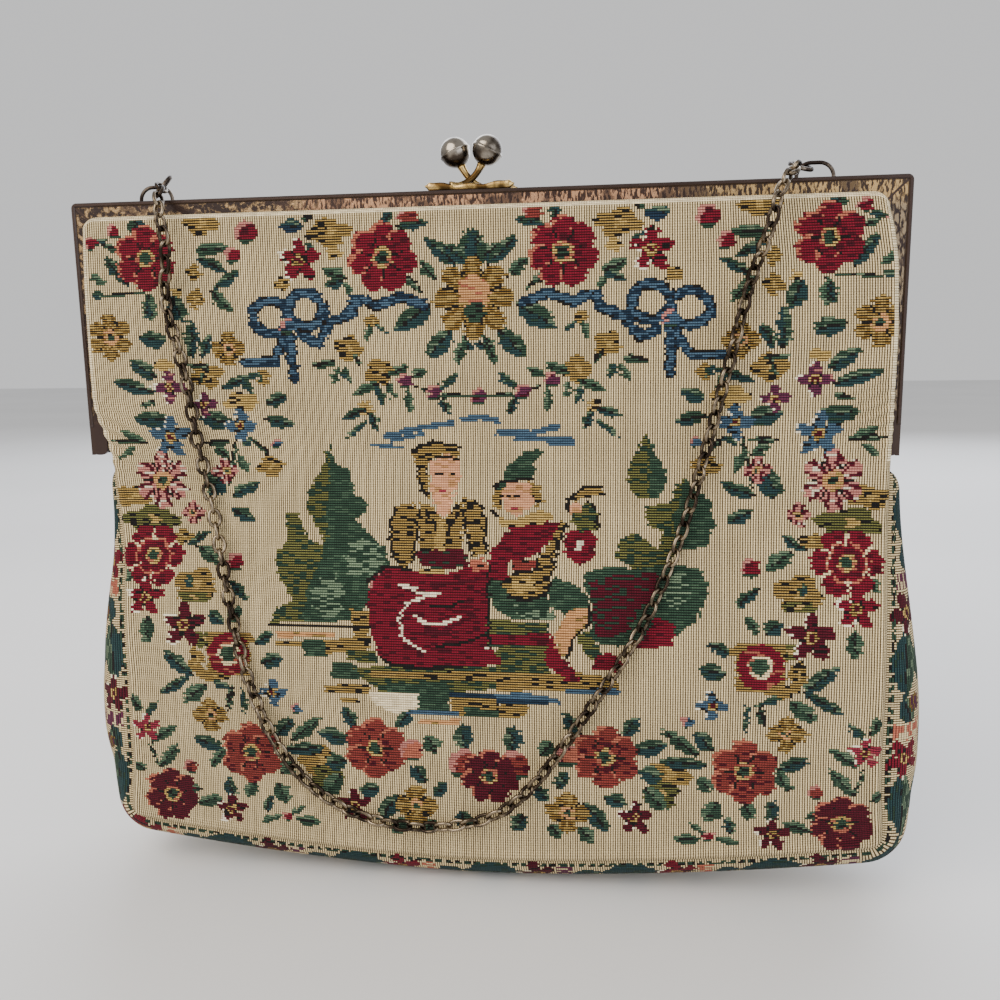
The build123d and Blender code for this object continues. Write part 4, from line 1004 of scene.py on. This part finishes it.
def gusset_points():
    """Grid of the strip: columns along the seam from the left hinge round the bottom to the right
    one, rows from the front seam over the bulge to the back seam. The seam is the panels' edge."""
    x, _, z, _ = panel_points()
    sides = z[:, 0] < GUSSET_TOP
    seam_x = np.concatenate([x[sides, 0], x[-1, 1:-1], x[sides, -1][::-1]])
    seam_z = np.concatenate([z[sides, 0], z[-1, 1:-1], z[sides, -1][::-1]])
    run = np.concatenate([[0], np.cumsum(np.hypot(np.diff(seam_x), np.diff(seam_z)))])
    s = np.linspace(0, run[-1], int(run[-1] / RIB) + 1)
    seam_x, seam_z = np.interp(s, run, seam_x), np.interp(s, run, seam_z)
    soft = np.hanning(13) / np.hanning(13).sum()
    way_x, way_z = (np.convolve(np.pad(np.gradient(v), 6, "edge"), soft, "valid") for v in (seam_x, seam_z))
    size = np.hypot(way_x, way_z)
    out_x, out_z = way_z / size, -way_x / size
    half = cloth_depth(seam_z) - 0.6
    side = 3.4 + np.where(seam_x < 0, 10.6, 8.6) * (1 - smooth(seam_z, 45, 116))
    reach = 8.8 + (side - 8.8) * smooth(seam_z, 17, 42)
    reach *= np.sqrt(1 - np.clip((seam_z - GUSSET_TOP + 5) / 5.01, 0, 1) ** 2)
    sweep = np.sin(np.linspace(-np.pi / 2, np.pi / 2, 400))
    arch = (1 - np.abs(sweep) ** 2.8) ** (1 / 2.3)
    arc = np.concatenate([[0], np.cumsum(np.hypot(19 * np.diff(sweep), 10 * np.diff(arch)))])
    across = np.interp(np.linspace(0, arc[-1], 73), arc, sweep)[:, None]
    lift = (1 - np.abs(across) ** 2.8) ** (1 / 2.3)
    points = np.stack([seam_x + out_x * reach * lift, half * across, seam_z + out_z * reach * lift], axis=-1)
    step = np.linalg.norm(np.diff(points, axis=0), axis=2)
    arc = np.concatenate([0 * step[:1], np.cumsum(step, axis=0)])
    return points, s + 0 * across, np.minimum(arc, arc[-1] - arc)


def strip():
    """Woven strip that bulges out between the seams of the two panels."""
    points, s, away = gusset_points()
    cloth = Cloth(middles(s), middles(away), 8)
    strip_pattern(cloth)
    return woven_sheet("tapestry_gusset", points, cloth, TAPESTRY)


gusset = strip()
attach(gusset, "bag")
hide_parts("gusset")


# Lining


def lining_sheet(name, flip):
    """Satin sheet inside a panel, with shallow gathers from the top edge down."""
    x, z = np.meshgrid(np.linspace(-1, 1, 121), np.linspace(181.8, 12.6, 111))
    half = 100.2 + 2.4 * smooth(z, 121, 131) - 5.4 * smooth(z, 112, 100)
    corner = np.maximum(np.abs(x) * half - 86, 0)
    low = 18 + 10 - np.sqrt(np.maximum(100 - corner**2, 0))
    height = np.maximum(z, low)
    gathers = 0.35 * np.sin(x * 61 + np.sin(z / 17)) * smooth(z, 181, 140)
    depth = cloth_depth(height) - 1.9 - np.abs(gathers)
    points = np.stack([x * half * flip, -depth * flip, height], axis=-1)
    made = fill_mesh(name, points.reshape(-1, 3), grid_faces(*x.shape))
    made.data.materials.append(SATIN)
    return made


inner_front = lining_sheet("satin_front", 1)
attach(inner_front, "bag")
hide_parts("lining_front")
inner_back = lining_sheet("satin_back", -1)
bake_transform(inner_back)
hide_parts("lining_back")


def lining_strip():
    """Satin strip inside the gusset, drawn in from it on every side."""
    points = gusset_points()[0][::2, ::3].copy()
    points *= (0.975, 0.9, 1)
    points[..., 2] += 1.6
    made = fill_mesh("satin_gusset", points.reshape(-1, 3), grid_faces(*points.shape[:2]))
    made.data.materials.append(SATIN)
    return made


inner_gusset = lining_strip()
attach(inner_gusset, "bag")
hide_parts("lining_gusset")


# Metal parts


def links():
    """Oval links of round wire, each set by the middle and the long and short ways of its solid:
    a circle stretched along X, with a round section."""
    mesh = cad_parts["chain"].data
    co = np.empty(len(mesh.vertices) * 3, np.float32)
    mesh.vertices.foreach_get("co", co)
    corner = np.empty(len(mesh.loops), np.int32)
    mesh.loops.foreach_get("vertex_index", corner)
    spots = (co.reshape(-1, 3)[corner] / MM).reshape(-1, 48 * 3, 3)
    middle = spots.mean(axis=1)
    spread = spots - middle[:, None]
    _, ways = np.linalg.eigh(np.einsum("nij,nik->njk", spread, spread))
    long_way, wide_way, flat_way = ways[:, :, 2], ways[:, :, 1], ways[:, :, 0]
    turn = np.linspace(0, 2 * np.pi, 14, endpoint=False)
    round_wire = np.linspace(0, 2 * np.pi, 6, endpoint=False)
    wire = 0.5
    c, s = np.cos(turn), np.sin(turn)
    run_x = np.sign(c) * np.abs(c) ** 0.85 * (2.75 - wire)
    run_y = np.sign(s) * np.abs(s) ** 0.85 * (1.95 - wire)
    normal = np.stack([np.cos(turn), np.sin(turn)], axis=1)
    across = run_x[:, None] + normal[:, :1] * wire * np.cos(round_wire)
    beside = run_y[:, None] + normal[:, 1:] * wire * np.cos(round_wire)
    above = 0 * turn[:, None] + wire * np.sin(round_wire)
    points = (
        middle[:, None, None]
        + long_way[:, None, None] * across[None, ..., None]
        + wide_way[:, None, None] * beside[None, ..., None]
        + flat_way[:, None, None] * above[None, ..., None]
    )
    one = grid_faces(14, 6, round_rows=True, round_columns=True)
    count = len(middle)
    faces = (np.arange(count)[:, None, None] * 84 + one[None]).reshape(-1, 4)
    made = fill_mesh("chain_links", points.reshape(-1, 3), faces)
    tidy_normals(made)
    made.data.materials.append(LINKS)
    return made


chain = links()
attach(chain, "bag")
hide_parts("chain")

TILT = math.radians(25)
BALL = 3.85


def kiss_ball(name, side):
    """Hollow ball of two cups with a soldered ridge round its middle and a small tip on top."""
    angles = np.radians(np.linspace(-78, 78, 41))
    bump = 0.28 * np.exp(-((BALL * np.sin(angles) / 0.32) ** 2))
    profile = [(0.0, -BALL)] + [((BALL + b) * math.cos(a), BALL * math.sin(a)) for a, b in zip(angles, bump)]
    profile += [(0.45, BALL * 0.99), (0.0, BALL + 0.05)]
    way = (side * math.sin(TILT), 0, math.cos(TILT))
    centre = (side * (BALL + 0.25 * math.cos(TILT) + 0.25), -side * 0.8, FRAME_TOP + 10.3)
    return turned(name, profile, centre, way, GUNMETAL), np.array(centre), np.array(way)


def clasp_mount(name, side, centre, way):
    """T-bar soldered on the top of a half, with flared, notched ends and the stem of its ball
    growing out of it in an arc."""
    x = np.linspace(-11.5, 11.5, 61)
    flare = np.abs(x) / 11.5
    top = 1.7 + 1.2 * flare**3 + 0.25 * np.cos(x * 0.9)
    tail = smooth(np.abs(x), 10.2, 11.5)
    turn = np.linspace(0, 2 * np.pi, 14, endpoint=False)
    half_height = np.maximum(top / 2, 0.2) * (1 - 0.85 * tail)
    half_deep = 0.85 * (1 - 0.6 * tail)
    middle = top / 2 + 0.05
    c, s = np.cos(turn), np.sin(turn)
    c, s = np.sign(c) * np.abs(c) ** 0.7, np.sign(s) * np.abs(s) ** 0.7
    points = np.stack(
        [
            x[:, None] + 0 * turn[None],
            -side * 3.9 + half_deep[:, None] * c[None],
            FRAME_TOP + middle[:, None] + half_height[:, None] * s[None],
        ],
        axis=-1,
    )
    bar = fill_mesh(name, points.reshape(-1, 3), grid_faces(61, 14, round_columns=True))
    tidy_normals(bar)
    bar.data.materials.append(GILT)
    start = centre - way * (BALL - 0.1)
    root = np.array([-side * 5.0, -side * 3.9, FRAME_TOP + 1.2])
    share = np.linspace(0, 1, 25)[:, None]
    lower = start - way * 6.0
    path = (1 - share) ** 2 * start + 2 * share * (1 - share) * lower + share**2 * root
    radius = 0.85 + 0.35 * np.exp(-share[:, 0] * 14) + 0.45 * smooth(share[:, 0], 0.75, 1)
    stem = rod(name + "_stem", path, radius, (0, 1, 0), GILT, 16)
    return join(name, [bar, stem])


for side, half, body in ((1, "front", "bag"), (-1, "rear", "rear_frame")):
    ball, centre, way = kiss_ball(f"{half}_kiss_ball", side)
    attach(ball, body)
    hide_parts(f"{half}_ball")
    mount = clasp_mount(f"{half}_tee_mount", side, centre, way)
    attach(mount, body)
    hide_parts(f"{half}_clasp_mount")


def loop_path(side):
    """Arch of wire standing on the frame: up, a quarter round, across, a quarter round, down."""
    turn = np.linspace(0, np.pi / 2, 9)
    x0, half, top, bend = side * 85.8, 4.45, 189.1, 3.4
    left = np.stack([x0 - half + bend - bend * np.cos(turn), 0 * turn - 1.4, top - bend + bend * np.sin(turn)], 1)
    right = left[::-1] * (-1, 1, 1) + (2 * x0, 0, 0)
    feet = [[x0 - half, -1.4, 184.1]], [[x0 + half, -1.4, 184.1]]
    return np.concatenate([feet[0], left, right, feet[1]])


loops = join("wire_loops", [rod(f"loop{side}", loop_path(side), 0.5, (0, 1, 0), WIRE, 10) for side in (-1, 1)])
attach(loops, "bag")
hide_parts("chain_loops")


def ring_path(centre, flat, lean):
    """Circle about a centre, square to flat."""
    flat, lean = (np.asarray(v, float) / np.linalg.norm(v) for v in (flat, lean))
    turn = np.linspace(0, 2 * np.pi, 40, endpoint=False)[:, None]
    return np.asarray(centre) + 2.7 * (np.cos(turn) * lean + np.sin(turn) * np.cross(flat, lean))


rings = join(
    "wire_rings",
    [
        rod(
            "ring_left",
            ring_path((-83.54, -1.21, 189.68), (0.67, 0.38, -0.63), (0.6, 0.22, 0.77)),
            0.55,
            (0.67, 0.38, -0.63),
            WIRE,
            12,
            True,
        ),
        rod(
            "ring_right",
            ring_path((82.27, -2.16, 188.19), (0.259, -0.31, 0.915), (0.962, 0, -0.272)),
            0.55,
            (0.259, -0.31, 0.915),
            WIRE,
            12,
            True,
        ),
    ],
)
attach(rings, "bag")
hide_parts("chain_rings")


def rivet(side):
    """Domed head outside, shank through both lugs and a flat washer inside."""
    dome = [(0.0, 1.0), (0.6, 0.93), (1.2, 0.7), (1.7, 0.35), (2.0, 0.0), (0.9, 0.0)]
    shank = [(0.9, -2.2), (2.0, -2.25), (2.0, -2.6), (0.0, -2.65)]
    return turned("rivet", dome + shank, (side * HALF_WIDTH, 0, HINGE), (side, 0, 0), WIRE, 24)


rivets = join("hinge_pins", [rivet(-1), rivet(1)])
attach(rivets, "bag")
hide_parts("hinge_rivets")

for half in ("front_frame", "rear_frame"):
    for index in range(len(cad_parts[half].material_slots)):
        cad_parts[half].material_slots[index].material = BRONZE


# Floor, light and camera


def stage_floor():
    """Wide pale floor."""
    x, y = np.meshgrid(np.linspace(-3000, 3000, 7), np.linspace(3000, -3000, 7))
    points = np.stack([x, y, 0 * x - 0.02], axis=-1)
    made = fill_mesh("floor", points.reshape(-1, 3), grid_faces(7, 7))
    paint, tree, shader = new_material("pale_floor")
    place = node(tree, "TexCoord").outputs["Object"]
    cloud = node(tree, "TexNoise", {"Vector": place, "Scale": 3.0}).outputs[0]
    colour = blended(tree, ramp(tree, cloud, 0.3, 0.7), rgba("d6d6d6"), rgba("dddddd"))
    set_sockets(tree, shader, Base_Color=colour, Roughness=0.6)
    made.data.materials.append(paint)


stage_floor()


def lamp(name, place, aim, size, watts, colour="ffffff"):
    """Square soft light aimed at a point."""
    light = bpy.data.lights.new(name, "AREA")
    light.shape = "RECTANGLE"
    light.size, light.size_y = size
    light.energy = watts
    light.color = tuple(linear(colour))
    made = bpy.data.objects.new(name, light)
    bpy.context.scene.collection.objects.link(made)
    way = np.array(aim, float) - np.array(place, float)
    made.rotation_euler = Vector(way).to_track_quat("-Z", "Y").to_euler()
    made.location = [v * MM for v in place]


lamp("key", (-500, -700, 800), (0, 0, 90), (0.9, 0.9), 14, "fff6ea")
lamp("fill", (700, -600, 350), (0, 0, 80), (0.9, 0.7), 5, "eef4ff")
lamp("window", (100, 900, 700), (0, 0, 120), (1.6, 1.0), 16, "f2f6ff")

world = bpy.data.worlds.new("pale_room")
world.use_nodes = True
world.node_tree.nodes["Background"].inputs[0].default_value = rgba("f2f2f3")
world.node_tree.nodes["Background"].inputs[1].default_value = 0.85
bpy.context.scene.world = world

yaw, pitch, roll = math.radians(7.635), math.radians(9.452), math.radians(-0.853)
forward = np.array([-math.sin(yaw) * math.cos(pitch), math.cos(yaw) * math.cos(pitch), -math.sin(pitch)])
right = np.array([math.cos(yaw), math.sin(yaw), 0])
up = np.cross(right, forward)
tilted_right = right * math.cos(roll) + up * math.sin(roll)
tilted_up = up * math.cos(roll) - right * math.sin(roll)
camera = bpy.data.objects.new("camera", bpy.data.cameras.new("camera"))
bpy.context.scene.collection.objects.link(camera)
camera.data.lens, camera.data.sensor_width = 34.48, 36.0
pose = np.eye(4)
pose[:3, 0], pose[:3, 1], pose[:3, 2] = tilted_right, tilted_up, -forward
pose[:3, 3] = np.array([40.4, -255.36, 147.09]) * MM
camera.matrix_world = Matrix(pose.tolist())
camera.data.clip_start = 0.01
bpy.context.scene.camera = camera
